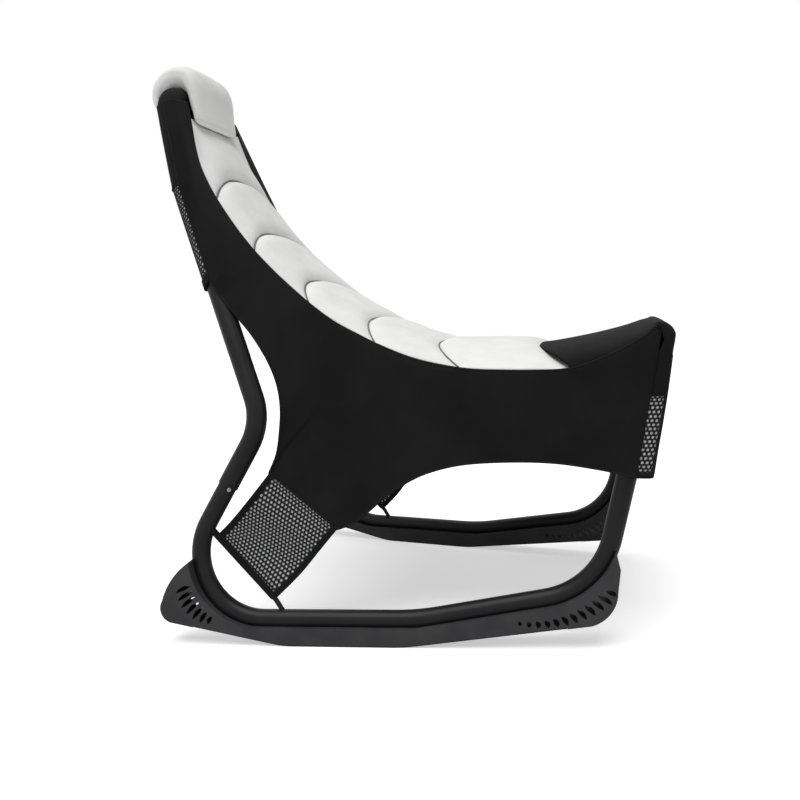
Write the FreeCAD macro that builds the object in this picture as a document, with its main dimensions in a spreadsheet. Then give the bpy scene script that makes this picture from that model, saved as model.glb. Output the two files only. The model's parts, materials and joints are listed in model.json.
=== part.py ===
import FreeCAD, Part
import math
import os
from FreeCAD import Placement, Rotation, Vector

# Rocking floor seat on a bent tube frame with a stretched fabric cover.
# The seat faces -Y, +Z is up and the floor is z = 0. Millimetres.
# Side places are given as a distance forward of the middle, a height and a half width.
# Right hand pieces lie at -X and left hand pieces are their mirror images.

doc = FreeCAD.newDocument("RockerSeat")
sheet = doc.addObject("Spreadsheet::Sheet", "Sizes")

sizeList = [
    # tube stock and its joints
    ("lowerTubeDiameter", 30.0),
    ("lowerTubeWall", 1.2),
    ("upperTubeWall", 1.5),
    ("tubeJointGap", 0.15),
    ("jointOverlap", 45.0),
    ("rearJointHeight", 250.0),
    ("frontJointHeight", 302.0),
    # bend points of the runner tube
    ("rearBendForward", -352.0),
    ("rearBendHalf", 326.0),
    ("runnerHeight", 38.0),
    ("runnerKneeForward", 70.0),
    ("frontBendForward", 347.0),
    ("frontBendHeight", 88.0),
    ("frontBendHalf", 223.0),
    ("rearBendRadius", 104.0),
    ("runnerKneeRadius", 400.0),
    ("frontBendRadius", 125.0),
    # bend points of the back frame
    ("backKneeForward", -176.0),
    ("backKneeHeight", 350.0),
    ("backKneeHalf", 260.0),
    ("shoulderForward", -345.0),
    ("shoulderHeight", 745.0),
    ("shoulderHalf", 160.0),
    ("topForward", -401.0),
    ("topHeight", 922.0),
    ("topHalf", 103.0),
    ("backKneeRadius", 90.0),
    ("shoulderRadius", 600.0),
    ("topCornerRadius", 55.0),
    # corner of the front frame
    ("seatFrontForward", 436.0),
    ("seatFrontHeight", 466.0),
    ("seatFrontHalf", 212.0),
    ("seatCornerRadius", 45.0),
    # locking buttons
    ("buttonDiameter", 6.8),
    ("buttonHoleGap", 0.15),
    ("buttonStand", 1.9),
    ("buttonTravel", 4.0),
    ("buttonFlange", 9.2),
    ("buttonBelowRim", 2.0),
    ("buttonAboveRim", 20.0),
    ("rearButtonTurn", 40.0),
    ("springWidth", 7.0),
    ("springThickness", 0.6),
    ("springLength", 26.0),
    # moulded rocker shoes
    ("shoeWidth", 42.0),
    ("shoeTubeDrop", 8.0),
    ("seatGap", 0.3),
    ("stripThickness", 2.5),
    ("stripWidth", 38.0),
    ("stripRear", -285.0),
    ("stripFront", 297.0),
    ("flatRear", -141.0),
    ("flatFront", 50.0),
    ("rearRockRadius", 145.0),
    ("frontRockRadius", 300.0),
    ("heelSlotWidth", 7.0),
    ("heelSlotLength", 32.0),
    ("heelSlotCount", 7),
    ("toeSlotWidth", 8.0),
    ("toeSlotFirst", 7.5),
    ("toeSlotGrowth", 1.9),
    ("toeSlotCount", 12),
    # shoe screws
    ("screwDiameter", 4.0),
    ("screwHeadDiameter", 8.0),
    ("screwHeadHeight", 2.6),
    ("screwGap", 0.15),
    # fabric
    ("fabricThickness", 3.0),
    ("sleeveEase", 1.3),
    ("padMiddleThickness", 22.0),
    ("padEdgeThickness", 10.0),
    ("padPuff", 12.0),
    ("rodDiameter", 8.0),
    ("pocketWall", 2.0),
    ("pillowHalfWidth", 85.0),
    ("meshTopHeight", 381.0),
    ("meshHemHeight", 266.0),
    ("topSleeveDrop", 28.0),
    ("centringShift", 4.0),
]
for row, (name, value) in enumerate(sizeList, start=1):
    sheet.set("A%d" % row, name)
    sheet.set("B%d" % row, str(value))
    sheet.setAlias("B%d" % row, name)
doc.recompute()


def size(name):
    return float(sheet.get(name))


lowerRadius = size("lowerTubeDiameter") / 2
lowerBore = lowerRadius - size("lowerTubeWall")
upperBore = lowerRadius + size("tubeJointGap")
upperRadius = upperBore + size("upperTubeWall")
gap = size("seatGap")
fabric = size("fabricThickness")
sleeveRadius = upperRadius + gap
centringShift = size("centringShift")
parts = {}


# Small helpers for places and shapes

def place(forward, half, height):
    return Vector(-half, centringShift - forward, height)


def forward_of(point):
    return centringShift - point.y


def mirrored(point):
    return Vector(-point.x, point.y, point.z)


def blend(a, b, share):
    return a + (b - a) * share


def toward(a, b):
    return (b - a).normalize()


def feature(label, shape):
    item = doc.addObject("Part::Feature", label)
    item.Shape = shape
    item.Label = label
    parts[label] = item
    return item


def mirror_part(label, source):
    item = doc.addObject("Part::Mirroring", label)
    item.Source = source
    item.Normal = (1, 0, 0)
    item.Label = label
    parts[label] = item
    return item


def bend_at(before, corner, after, radius):
    back = toward(corner, before)
    ahead = toward(corner, after)
    half = back.getAngle(ahead) / 2
    reach = radius / math.tan(half)
    middle = corner + (back + ahead).normalize() * (radius / math.sin(half) - radius)
    return corner + back * reach, middle, corner + ahead * reach


def bent_edges(points, radii):
    edges = []
    start = points[0]
    for index, radius in enumerate(radii, start=1):
        first, middle, last = bend_at(points[index - 1], points[index], points[index + 1], radius)
        edges.append(Part.LineSegment(start, first).toShape())
        edges.append(Part.Arc(first, middle, last).toShape())
        start = last
    edges.append(Part.LineSegment(start, points[-1]).toShape())
    return edges


def round_bar(edges, radius):
    solids = []
    for edge in edges:
        start = edge.valueAt(edge.FirstParameter)
        heading = edge.tangentAt(edge.FirstParameter)
        if edge.Curve.TypeId == "Part::GeomLine":
            solids.append(Part.makeCylinder(radius, edge.Length, start, heading))
        else:
            disc = Part.Face(Part.Wire(Part.Circle(start, heading, radius).toShape()))
            turn = math.degrees(edge.Length / edge.Curve.Radius)
            solids.append(disc.revolve(edge.Curve.Center, edge.Curve.Axis, turn))
    return solids[0].fuse(solids[1:]).removeSplitter()


def tube(edges, radius, bore):
    return round_bar(edges, radius).cut(round_bar(edges, bore))


def point_on(edges, plane_point, plane_normal):
    wire = Part.Wire(edges)
    points = wire.discretize(Number=1200)
    for first, second in zip(points, points[1:]):
        before = (first - plane_point).dot(plane_normal)
        after = (second - plane_point).dot(plane_normal)
        if before * after <= 0:
            return blend(first, second, before / (before - after))
    raise ValueError("plane misses the path")


def polygon_edges(points):
    ring = points + [points[0]]
    return [Part.LineSegment(a, b).toShape() for a, b in zip(ring, ring[1:])]


def sheet_row(first, last, outward, thickness):
    shift = outward * (thickness / 2)
    return Part.Wire(polygon_edges([first + shift, last + shift, last - shift, first - shift]))


# Bend points of the frame, right side

runnerSlope = (size("frontBendHalf") - size("rearBendHalf")) / (size("frontBendForward") - size("rearBendForward"))


def runner_half(forward):
    return size("rearBendHalf") + runnerSlope * (forward - size("rearBendForward"))


rearBend = place(size("rearBendForward"), size("rearBendHalf"), size("runnerHeight"))
runnerKnee = place(size("runnerKneeForward"), runner_half(size("runnerKneeForward")), size("runnerHeight"))
frontBend = place(size("frontBendForward"), size("frontBendHalf"), size("frontBendHeight"))
backKnee = place(size("backKneeForward"), size("backKneeHalf"), size("backKneeHeight"))
shoulder = place(size("shoulderForward"), size("shoulderHalf"), size("shoulderHeight"))
topCorner = place(size("topForward"), size("topHalf"), size("topHeight"))
seatCorner = place(size("seatFrontForward"), size("seatFrontHalf"), size("seatFrontHeight"))
rearLine = toward(rearBend, backKnee)
frontLine = toward(frontBend, seatCorner)


def at_height(start, heading, height):
    return start + heading * ((height - start.z) / heading.z)


rearRim = at_height(rearBend, rearLine, size("rearJointHeight"))
frontRim = at_height(frontBend, frontLine, size("frontJointHeight"))
runnerTop = rearRim + rearLine * size("jointOverlap")
legTop = frontRim + frontLine * size("jointOverlap")

runnerPoints = [runnerTop, rearBend, runnerKnee, frontBend, legTop]
runnerRadii = [size("rearBendRadius"), size("runnerKneeRadius"), size("frontBendRadius")]
runnerPath = bent_edges(runnerPoints, runnerRadii)

backHalf = [rearRim, backKnee, shoulder, topCorner]
backPoints = backHalf + [mirrored(point) for point in reversed(backHalf)]
backRadii = [size("backKneeRadius"), size("shoulderRadius"), size("topCornerRadius")]
backPath = bent_edges(backPoints, backRadii + backRadii[::-1])

frontPoints = [frontRim, seatCorner, mirrored(seatCorner), mirrored(frontRim)]
frontPath = bent_edges(frontPoints, [size("seatCornerRadius")] * 2)


# Locking buttons and the springs behind them

def square_to(heading, side):
    return (side - heading * side.dot(heading)).normalize()


rearTurn = math.radians(size("rearButtonTurn"))
rearSide = Vector(-math.cos(rearTurn), -math.sin(rearTurn), 0)
buttonPlaces = {
    "rear": (rearRim - rearLine * size("buttonBelowRim"), rearLine, square_to(rearLine, rearSide)),
    "front": (frontRim + frontLine * size("buttonAboveRim"), frontLine, square_to(frontLine, Vector(1, 0, 0))),
}


def button_hole(where, radius):
    centre, heading, up = buttonPlaces[where]
    return Part.makeCylinder(radius, upperRadius * 2, centre, up)


holeRadius = size("buttonDiameter") / 2 + size("buttonHoleGap")

# Screw places along the runner, each square to the shoe's underside

screwForwards = [-110.0, 25.0, 195.0]
runnerHeading = Vector(runnerKnee.x - rearBend.x, runnerKnee.y - rearBend.y, 0).normalize()
riseHeading = toward(runnerKnee, frontBend)


def runner_axis_at(forward):
    if forward < size("runnerKneeForward"):
        return blend(rearBend, runnerKnee, (forward + -size("rearBendForward")) / (
            size("runnerKneeForward") - size("rearBendForward"))), Vector(0, 0, -1)
    share = (forward - size("runnerKneeForward")) / (size("frontBendForward") - size("runnerKneeForward"))
    down = Vector(0, 0, -1) + riseHeading * riseHeading.z
    return blend(runnerKnee, frontBend, share), down.normalize()


def cut_all(shape, tools):
    for tool in tools:
        shape = shape.cut(tool)
    return shape


def screw_holes(radius):
    holes = []
    for forward in screwForwards:
        centre, down = runner_axis_at(forward)
        holes.append(Part.makeCylinder(radius, 60, centre, down))
    return holes


# Steel frame: two runners, the back and the front

screwHoleRadius = size("screwDiameter") / 2 + size("screwGap")
runnerShape = tube(runnerPath, lowerRadius, lowerBore)
runnerShape = cut_all(runnerShape, [button_hole("rear", holeRadius), button_hole("front", holeRadius)])
runnerShape = cut_all(runnerShape, screw_holes(screwHoleRadius))
runnerRight = feature("runner_tube_right", runnerShape)
mirror_part("runner_tube_left", runnerRight)

backShape = tube(backPath, upperRadius, upperBore)
rearHole = button_hole("rear", holeRadius)
backShape = cut_all(backShape, [rearHole, rearHole.mirror(Vector(0, 0, 0), Vector(1, 0, 0))])
feature("back_frame_tube", backShape)

frontShape = tube(frontPath, upperRadius, upperBore)
frontHole = button_hole("front", holeRadius)
frontShape = cut_all(frontShape, [frontHole, frontHole.mirror(Vector(0, 0, 0), Vector(1, 0, 0))])
feature("front_frame_tube", frontShape)


def body_sketch(body, name, role, geometry):
    drawing = body.newObject("Sketcher::SketchObject", name)
    plane = [item for item in body.Origin.OriginFeatures if item.Role == role][0]
    drawing.AttachmentSupport = [(plane, "")]
    drawing.MapMode = "FlatFace"
    drawing.addGeometry(geometry, False)
    return drawing


def closed_profile(items):
    geometry = []
    for item in items:
        points = [Vector(x, y, 0) for x, y in item]
        if len(points) == 2:
            geometry.append(Part.LineSegment(points[0], points[1]))
        else:
            geometry.append(Part.Arc(points[0], points[1], points[2]))
    return geometry


def turned_body(label, profile, placement):
    body = doc.addObject("PartDesign::Body", label + "_body")
    drawing = body_sketch(body, label + "_profile", "XZ_Plane", closed_profile(profile))
    turning = body.newObject("PartDesign::Revolution", label + "_turn")
    turning.Profile = drawing
    turning.ReferenceAxis = (drawing, ["V_Axis"])
    turning.Angle = 360
    body.Placement = placement
    return body


def stand_along(centre, up, along):
    across = up.cross(along).normalize()
    along = across.cross(up).normalize()
    return Placement(centre, Rotation(along, across, up, "ZXY"))


def make_button(where):
    centre, heading, up = buttonPlaces[where]
    rim = upperRadius if where == "front" else lowerRadius + size("upperTubeWall")
    top = rim + size("buttonStand")
    flange = size("buttonFlange") / 2
    under = math.sqrt(lowerBore ** 2 - flange ** 2) - gap
    radius = size("buttonDiameter") / 2
    round_top = 0.9
    profile = [
        [(0, under - 1.6), (flange, under - 1.6)],
        [(flange, under - 1.6), (flange, under)],
        [(flange, under), (radius, under)],
        [(radius, under), (radius, top - round_top)],
        [(radius, top - round_top), (radius - round_top * 0.29, top - round_top * 0.29), (radius - round_top, top)],
        [(radius - round_top, top), (0, top)],
        [(0, top), (0, under - 1.6)],
    ]
    label = "snap_button_%s_right" % where
    body = turned_body(label, profile, stand_along(centre, up, heading))
    body.Label = label
    parts[label] = body
    mirror_part("snap_button_%s_left" % where, body)
    return under - 1.6


def make_spring(where, top):
    centre, heading, up = buttonPlaces[where]
    direction = heading * (-1 if where == "rear" else 1)
    thick = size("springThickness")
    reach = size("springLength")
    nose = 4.0
    low = -lowerBore + 1.0
    high = top - gap
    profile = [
        [(-nose, high), (nose, high)],
        [(nose, high), (reach, 1.0)],
        [(reach, 1.0), (reach + 1.6, 0.0), (reach, -1.0)],
        [(reach, -1.0), (nose, low)],
        [(nose, low), (-nose, low)],
        [(-nose, low), (-nose, low + thick)],
        [(-nose, low + thick), (nose - 0.4, low + thick)],
        [(nose - 0.4, low + thick), (reach - 1.0, -0.8)],
        [(reach - 1.0, -0.8), (reach - 0.2, 0.0), (reach - 1.0, 0.8)],
        [(reach - 1.0, 0.8), (nose - 0.4, high - thick)],
        [(nose - 0.4, high - thick), (-nose, high - thick)],
        [(-nose, high - thick), (-nose, high)],
    ]
    label = "snap_spring_%s_right" % where
    body = doc.addObject("PartDesign::Body", label + "_body")
    drawing = body_sketch(body, label + "_profile", "XZ_Plane", closed_profile(profile))
    leaf = body.newObject("PartDesign::Pad", label + "_pad")
    leaf.Profile = drawing
    leaf.Midplane = True
    leaf.setExpression("Length", "Sizes.springWidth")
    body.Placement = stand_along(centre, up, direction)
    body.Label = label
    parts[label] = body
    mirror_part("snap_spring_%s_left" % where, body)


for where in buttonPlaces:
    underside = make_button(where)
    make_spring(where, underside)


# Rocker shoes: drawn in the upright plane of the runner, x along the runner and y up

planScale = 1 / math.cos(math.atan(runnerSlope))
shoePlane = Placement(
    place(0, runner_half(0), 0),
    Rotation(Vector(0, 0, 1), math.degrees(math.atan2(runnerHeading.y, runnerHeading.x))),
)


def along(forward, height):
    return forward * planScale, height


def flat_bend(before, corner, after, radius):
    a, b, c = [Vector(x, y, 0) for x, y in (before, corner, after)]
    first, middle, last = bend_at(a, b, c, radius)
    bisector = (toward(b, a) + toward(b, c)).normalize()
    centre = middle + bisector * radius
    return first, centre, last


rearFlat = [
    along(size("backKneeForward"), size("backKneeHeight")),
    along(size("rearBendForward"), size("runnerHeight")),
    along(size("runnerKneeForward"), size("runnerHeight")),
]
frontFlat = [
    along(size("runnerKneeForward"), size("runnerHeight")),
    along(size("frontBendForward"), size("frontBendHeight")),
    along(size("seatFrontForward"), size("seatFrontHeight")),
]
rearFirst, rearCentre, rearLast = flat_bend(*rearFlat, size("rearBendRadius"))
frontFirst, frontCentre, frontLast = flat_bend(*frontFlat, size("frontBendRadius"))
rearOuter = size("rearBendRadius") + size("shoeTubeDrop")
frontOuter = size("frontBendRadius") + size("shoeTubeDrop")


def polar(centre, radius, angle):
    turn = math.radians(angle)
    return centre.x + radius * math.cos(turn), centre.y + radius * math.sin(turn)


heelTip = polar(rearCentre, rearOuter, 183)
heelArcMiddle = polar(rearCentre, rearOuter, 226)
heelArcEnd = polar(rearCentre, rearOuter, 270)
riseAngle = math.degrees(math.atan2(riseHeading.z, math.hypot(riseHeading.x, riseHeading.y)))
toeArcStart = polar(frontCentre, frontOuter, riseAngle - 90)
toeArcMiddle = polar(frontCentre, frontOuter, (riseAngle - 90 - 20) / 2)
toeTip = polar(frontCentre, frontOuter, -20)
kneeDrop = along(size("runnerKneeForward"), size("runnerHeight") - size("shoeTubeDrop"))

strip = size("stripThickness")
heelBack = along(-333, 73)
heelBulge = along(-312, 112)
heelCorner = along(-335, 51)
heelFoot = along(-322, 38)
toeCornerStart = along(332, 38)
toeCornerMiddle = along(357, 54)
toeCornerEnd = along(371, 90)
toeFace = along(375, 124)
flatRear = along(size("flatRear"), 0)
flatFront = along(size("flatFront"), 0)


def on_line(a, b, x):
    return x, a[1] + (b[1] - a[1]) * (x - a[0]) / (b[0] - a[0])


def raised(point, rise):
    return point[0], point[1] + rise


def rounded(before, corner, after, radius):
    a, b, c = [Vector(x, y, 0) for x, y in (before, corner, after)]
    return [(point.x, point.y) for point in bend_at(a, b, c, radius)]


stripRear = on_line(heelFoot, flatRear, size("stripRear") * planScale)
stripFront = on_line(flatFront, toeCornerStart, size("stripFront") * planScale)


def underside(rise):
    rear, front = raised(stripRear, rise), raised(stripFront, rise)
    first, last = raised(flatRear, rise), raised(flatFront, rise)
    rearRound = rounded(rear, first, last, size("rearRockRadius"))
    frontRound = rounded(first, last, front, size("frontRockRadius"))
    return [
        [rear, rearRound[0]],
        rearRound,
        [rearRound[-1], frontRound[0]],
        frontRound,
        [frontRound[-1], front],
    ]


shoeOutline = [
    [heelTip, heelBulge, heelBack],
    [heelBack, heelCorner, heelFoot],
    [heelFoot, stripRear],
    [stripRear, raised(stripRear, strip)],
    *underside(strip),
    [raised(stripFront, strip), stripFront],
    [stripFront, toeCornerStart],
    [toeCornerStart, toeCornerMiddle, toeCornerEnd],
    [toeCornerEnd, toeFace],
    [toeFace, toeTip],
    [toeTip, toeArcMiddle, toeArcStart],
    [toeArcStart, kneeDrop],
    [kneeDrop, heelArcEnd],
    [heelArcEnd, heelArcMiddle, heelTip],
]


def leaf_slot(centre, length, width, angle):
    # a slot with two pointed ends, straighter on one side
    turn = math.radians(angle)
    run = (math.cos(turn), math.sin(turn))
    across = (-run[1], run[0])
    start = (centre[0] - run[0] * length / 2, centre[1] - run[1] * length / 2)
    end = (centre[0] + run[0] * length / 2, centre[1] + run[1] * length / 2)
    full = (centre[0] + across[0] * width * 0.7, centre[1] + across[1] * width * 0.7)
    lean = (centre[0] - across[0] * width * 0.3, centre[1] - across[1] * width * 0.3)
    return [[start, full, end], [end, lean, start]]


def heel_slots():
    fanCentre = along(-235, 100)
    fanRadius = 62.0
    slots = []
    for index in range(int(size("heelSlotCount"))):
        angle = math.radians(187 + 10.5 * index)
        centre = (fanCentre[0] + fanRadius * math.cos(angle), fanCentre[1] + fanRadius * math.sin(angle))
        length = size("heelSlotLength") * (1 - 0.03 * (index - 1.8) ** 2)
        slots += leaf_slot(centre, length, size("heelSlotWidth"), 25 + 5.5 * index)
    return slots


def toe_slots():
    first, middle, last = along(226, 41), along(305, 50), along(361, 88)
    arc = Part.Arc(*[Vector(x, y, 0) for x, y in (first, middle, last)]).toShape()
    count = int(size("toeSlotCount"))
    slots = []
    for index, spot in enumerate(arc.discretize(Number=count)):
        length = size("toeSlotFirst") + size("toeSlotGrowth") * index
        if index == count - 1:
            length *= 0.62
        width = min(size("toeSlotWidth"), length * 0.75)
        slope = arc.tangentAt(arc.Curve.parameter(spot))
        angle = math.degrees(math.atan2(slope.y, slope.x)) + 105
        slots += leaf_slot((spot.x, spot.y), length, width, angle + 180)
    return slots


def make_shoe():
    body = doc.addObject("PartDesign::Body", "ShoeBody")
    outline = body_sketch(body, "ShoeOutline", "XZ_Plane", closed_profile(shoeOutline))
    block = body.newObject("PartDesign::Pad", "ShoeBlock")
    block.Profile = outline
    block.Midplane = True
    block.setExpression("Length", "Sizes.shoeWidth")
    doc.recompute()
    openings = body_sketch(body, "ShoeSlots", "XZ_Plane", closed_profile(heel_slots() + toe_slots()))
    slots = body.newObject("PartDesign::Pocket", "ShoeSlotCut")
    slots.Profile = openings
    slots.Type = "ThroughAll"
    slots.Midplane = True
    body.Placement = shoePlane
    doc.recompute()
    tools = [round_bar(runnerPath, lowerRadius + gap)]
    tools += screw_holes(screwHoleRadius)
    for forward in screwForwards:
        head, down = screw_seat(forward)
        tools.append(Part.makeCylinder(size("screwHeadDiameter") / 2 + gap, 30, head, down))
    shape = cut_all(body.Shape, tools)
    return feature("rocker_shoe_right", shape)


def screw_seat(forward):
    centre, down = runner_axis_at(forward)
    depth = lowerRadius + gap + 4.0
    return centre + down * depth, down


def hexagon_bar(start, heading):
    across = heading.cross(Vector(0, 1, 0)).normalize()
    corners = [start + Rotation(heading, 60 * step).multVec(across) * 1.6 for step in range(6)]
    return Part.Face(Part.Wire(polygon_edges(corners))).extrude(heading * 3)


def make_screws():
    screws = []
    for forward in screwForwards:
        centre, down = runner_axis_at(forward)
        seat = screw_seat(forward)[0] + down * gap
        tip = centre + down * (lowerBore - 1.0)
        shank = Part.makeCylinder(size("screwDiameter") / 2, (seat - tip).Length, tip, down)
        head = Part.makeCylinder(size("screwHeadDiameter") / 2, size("screwHeadHeight"), seat, down)
        drive = hexagon_bar(seat + down * (size("screwHeadHeight") - 1.4), down)
        screws.append(shank.fuse(head).cut(drive).removeSplitter())
    return feature("shoe_screws_right", Part.makeCompound(screws))


def make_strip():
    body = doc.addObject("PartDesign::Body", "StripBody")
    lower = underside(0)
    upper = [item[::-1] for item in underside(strip - 0.05)[::-1]]
    lower[0][0] = on_line(*lower[0], stripRear[0] + gap)
    lower[-1][1] = on_line(*lower[-1], stripFront[0] - gap)
    upper[0][0] = on_line(*upper[0], stripFront[0] - gap)
    upper[-1][1] = on_line(*upper[-1], stripRear[0] + gap)
    profile = lower + [[lower[-1][-1], upper[0][0]]] + upper + [[upper[-1][-1], lower[0][0]]]
    drawing = body_sketch(body, "StripProfile", "XZ_Plane", closed_profile(profile))
    bar = body.newObject("PartDesign::Pad", "StripBar")
    bar.Profile = drawing
    bar.Midplane = True
    bar.setExpression("Length", "Sizes.stripWidth")
    body.Placement = shoePlane
    body.Label = "grip_strip_right"
    parts["grip_strip_right"] = body
    return body


mirror_part("rocker_shoe_left", make_shoe())
mirror_part("shoe_screws_left", make_screws())
mirror_part("grip_strip_left", make_strip())


# Cover: the crest is the line where the pale pad meets the black side panel

def upper_back(share, ahead, half):
    # a share of the way from the shoulder to the top corner, then forward of it
    between = blend(shoulder, topCorner, share)
    return place(forward_of(between) + ahead, half, between.z)


def near_corner(ahead, outward, rise):
    return place(size("seatFrontForward") + ahead, size("seatFrontHalf") + outward, size("seatFrontHeight") + rise)


crestPoints = [
    (-283, 131, 700),
    (-207, 150, 612),
    (-106, 171, 526),
    (-35, 184, 484),
    (60, 197, 443),
    (150, 204, 424),
    (304, 207, 421),
]
crestTop = [upper_back(0.79, 26, 93), upper_back(0.254, 22, 114)]
crestFront = [near_corner(-56, 2, -21), near_corner(-4, 20, 17)]
crestCurve = Part.BSplineCurve()
crestCurve.interpolate(crestTop + [place(*point) for point in crestPoints] + crestFront)


def crest_at(forward):
    low, high = crestCurve.FirstParameter, crestCurve.LastParameter
    for step in range(50):
        middle = (low + high) / 2
        if forward_of(crestCurve.value(middle)) < forward:
            low = middle
        else:
            high = middle
    return crestCurve.value(low), crestCurve.tangent(low)[0]


# Side panels: straight lines of cloth run from the crest to the tube or to a free edge

freeEdge = [
    # crest forward, then edge forward, half width and height
    (-140, -226, 223, 518),
    (-106, -201, 226, 491),
    (-80, -175, 231, 451),
    (-60, -157, 237, 412),
    (-40, -149, 244, 373),
    (-22, -150, 250, 335),
    (-8, -155, 257, 297),
    (5, -168, 262, 267),
    (25, -112, 260, 222),
    (45, -57, 258, 177),
    (62, -32, 250, 186),
    (80, -8, 242, 204),
    (105, 22, 235, 229),
    (135, 61, 229, 253),
    (165, 100, 225, 268),
    (205, 150, 222, 278),
    (250, 220, 221, 282),
    (304, 285, 223, 281),
    (350, 345, 229, 274),
    (400, 388, 237.5, 267),
    (431, 393, 237.5, 265),
]
panelCrests = [-363, -361, -358, -352, -338, -324]
netCrests = [-310, -292, -272, -247, -222]
tubeCrests = panelCrests + netCrests + [-195, -170]


sleeveInside = sleeveRadius + size("sleeveEase")


def back_section(forward):
    # the plane square to the back through a crest point, with the tube's centre in it, the direction
    # from that centre to where taut cloth meets the sleeve, and the sleeve's reach in this slanted cut
    crest, tangent = crest_at(forward)
    heading = Vector(0, tangent.y, tangent.z).normalize() * -1
    axis = point_on(backPath[:7], crest, heading)
    rise = toward(shoulder, topCorner) if axis.z > shoulder.z else rearLine
    inside = sleeveInside / heading.dot(rise)
    reach = axis - crest
    outward = reach.cross(heading).normalize()
    if outward.x > 0:
        outward = outward * -1
    lean = (inside + fabric / 2) / reach.Length
    touch = outward * math.sqrt(1 - lean ** 2) - reach.normalize() * lean
    return crest, heading, axis, touch, inside


def side_rows():
    rows = []
    for forward in tubeCrests:
        crest, heading, axis, touch, inside = back_section(forward)
        edge = axis + touch * (inside + fabric / 2)
        rows.append((crest, edge))
    for forward, edgeForward, half, height in freeEdge:
        rows.append((crest_at(forward)[0], place(edgeForward, half, height)))
    return rows


def row_normals(rows):
    normals = []
    for index, (crest, edge) in enumerate(rows):
        before = rows[max(index - 1, 0)]
        after = rows[min(index + 1, len(rows) - 1)]
        ahead = (after[0] + after[1]) - (before[0] + before[1])
        normal = ahead.cross(edge - crest).normalize()
        normals.append(normal if normal.x < 0 else normal * -1)
    return normals


sideRows = side_rows()
sideNormals = row_normals(sideRows)


def make_side():
    wires = [
        sheet_row(crest, edge, normal, fabric)
        for (crest, edge), normal in zip(sideRows, sideNormals)
    ]
    return feature("side_membrane_right", Part.makeLoft(wires, True, True))


# Tail of the side panel: open mesh between the panel's tail seam and the tail rod

tailRows = [
    # upper edge then lower edge: forward, half width, height
    ((-169, 262.3, 266), (-58, 258.3, 176)),
    ((-199, 274, 229), (-86, 268, 143)),
    ((-226, 286, 199), (-116, 280, 107)),
    ((-244, 293, 180), (-148, 293, 75)),
]


def tail_seam():
    # the side panel's own edge, moved away by the seat gap
    first, last = len(tubeCrests) + 7, len(tubeCrests) + 9
    corners = []
    for row in (first, last):
        crest, edge = sideRows[row]
        corners.append(edge + toward(crest, edge) * gap)
    normal = (sideNormals[first] + sideNormals[last]).normalize()
    return sheet_row(corners[0], corners[1], normal, fabric)


def tail_normal(index):
    upper, lower = [place(*point) for point in tailRows[index]]
    other = min(index + 1, len(tailRows) - 1)
    nextUpper, nextLower = [place(*point) for point in tailRows[other if other != index else index - 1]]
    normal = ((nextUpper + nextLower) - (upper + lower)).cross(lower - upper).normalize()
    return normal if normal.x < 0 else normal * -1


rodRadius = size("rodDiameter") / 2
rodStart = place(-268, 300, 193)
rodBend = place(-153, 294.5, 67.5)
rodFoot = place(-134, 293.8, 36)
rodPath = bent_edges([rodStart, rodBend, rodFoot], [9.0])


def make_tail():
    wires = [tail_seam()]
    for index, (upper, lower) in enumerate(tailRows[1:], start=1):
        wires.append(sheet_row(place(*upper), place(*lower), tail_normal(index), fabric))
    net = Part.makeLoft(wires, True, True)
    run = toward(rodStart, rodBend)
    first = rodStart + run * 22
    last = rodBend - run * 6
    pocket = Part.makeCylinder(rodRadius + gap + size("pocketWall"), (last - first).Length, first, run)
    net = net.fuse(pocket)
    net = net.cut(Part.makeCylinder(rodRadius + gap, 400, rodStart - run * 50, run))
    net = net.cut(round_bar(runnerPath, lowerRadius + gap))
    return feature("tail_mesh_right", biggest(net))


def biggest(shape):
    return max(shape.Solids, key=lambda solid: solid.Volume)


def make_rod():
    bar = round_bar(rodPath, rodRadius)
    return feature("tail_rod_right", biggest(bar.cut(round_bar(runnerPath, lowerRadius))))


mirror_part("side_membrane_left", make_side())
mirror_part("tail_mesh_left", make_tail())
mirror_part("tail_rod_left", make_rod())


# Padded strip of the seat and back: rows of arcs from crest to crest, sunk at each sewn seam

padSeams = [
    # crest forward, then the seam's middle: forward and height
    (-361, -364, 882),
    (-304, -322, 776),
    (-228, -257, 672),
    (-124, -172, 580),
    (-4, -55, 506),
    (137, 69, 459),
    (304, 252, 449),
]


def arc_through(first, middle, last):
    return Part.Arc(first, middle, last).toShape()


def pad_row(crestForward, middle, puff, edgePuff):
    crest, tangent = crest_at(crestForward)
    flat = Vector(0, tangent.y, tangent.z).normalize()
    normal = Vector(0, flat.z, -flat.y)
    inset = Vector(fabric / 2 + gap + 0.4, 0, 0)
    edge = crest + inset
    top = middle + normal * puff
    edgeTop = edge + normal * edgePuff
    low = edge - normal * size("padEdgeThickness")
    lowMiddle = middle - normal * size("padMiddleThickness")
    return [
        arc_through(edgeTop, top, mirrored(edgeTop)),
        Part.LineSegment(mirrored(edgeTop), mirrored(low)).toShape(),
        arc_through(mirrored(low), lowMiddle, low),
        Part.LineSegment(low, edgeTop).toShape(),
    ]


def pad_rows():
    rows = []
    for start, end in zip(padSeams, padSeams[1:]):
        rise = 0.12 if rows else 0.3
        for share, lift in ((0.0, 0.0), (rise, 0.62), (0.5, 1.0), (0.88, 0.62)):
            crestForward = start[0] + (end[0] - start[0]) * share
            forward = start[1] + (end[1] - start[1]) * share
            height = start[2] + (end[2] - start[2]) * share
            rows.append(pad_row(crestForward, place(forward, 0, height), size("padPuff") * lift, 3.0 * lift))
    last = padSeams[-1]
    rows.append(pad_row(last[0], place(last[1], 0, last[2]), 0.0, 0.0))
    return rows


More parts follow.
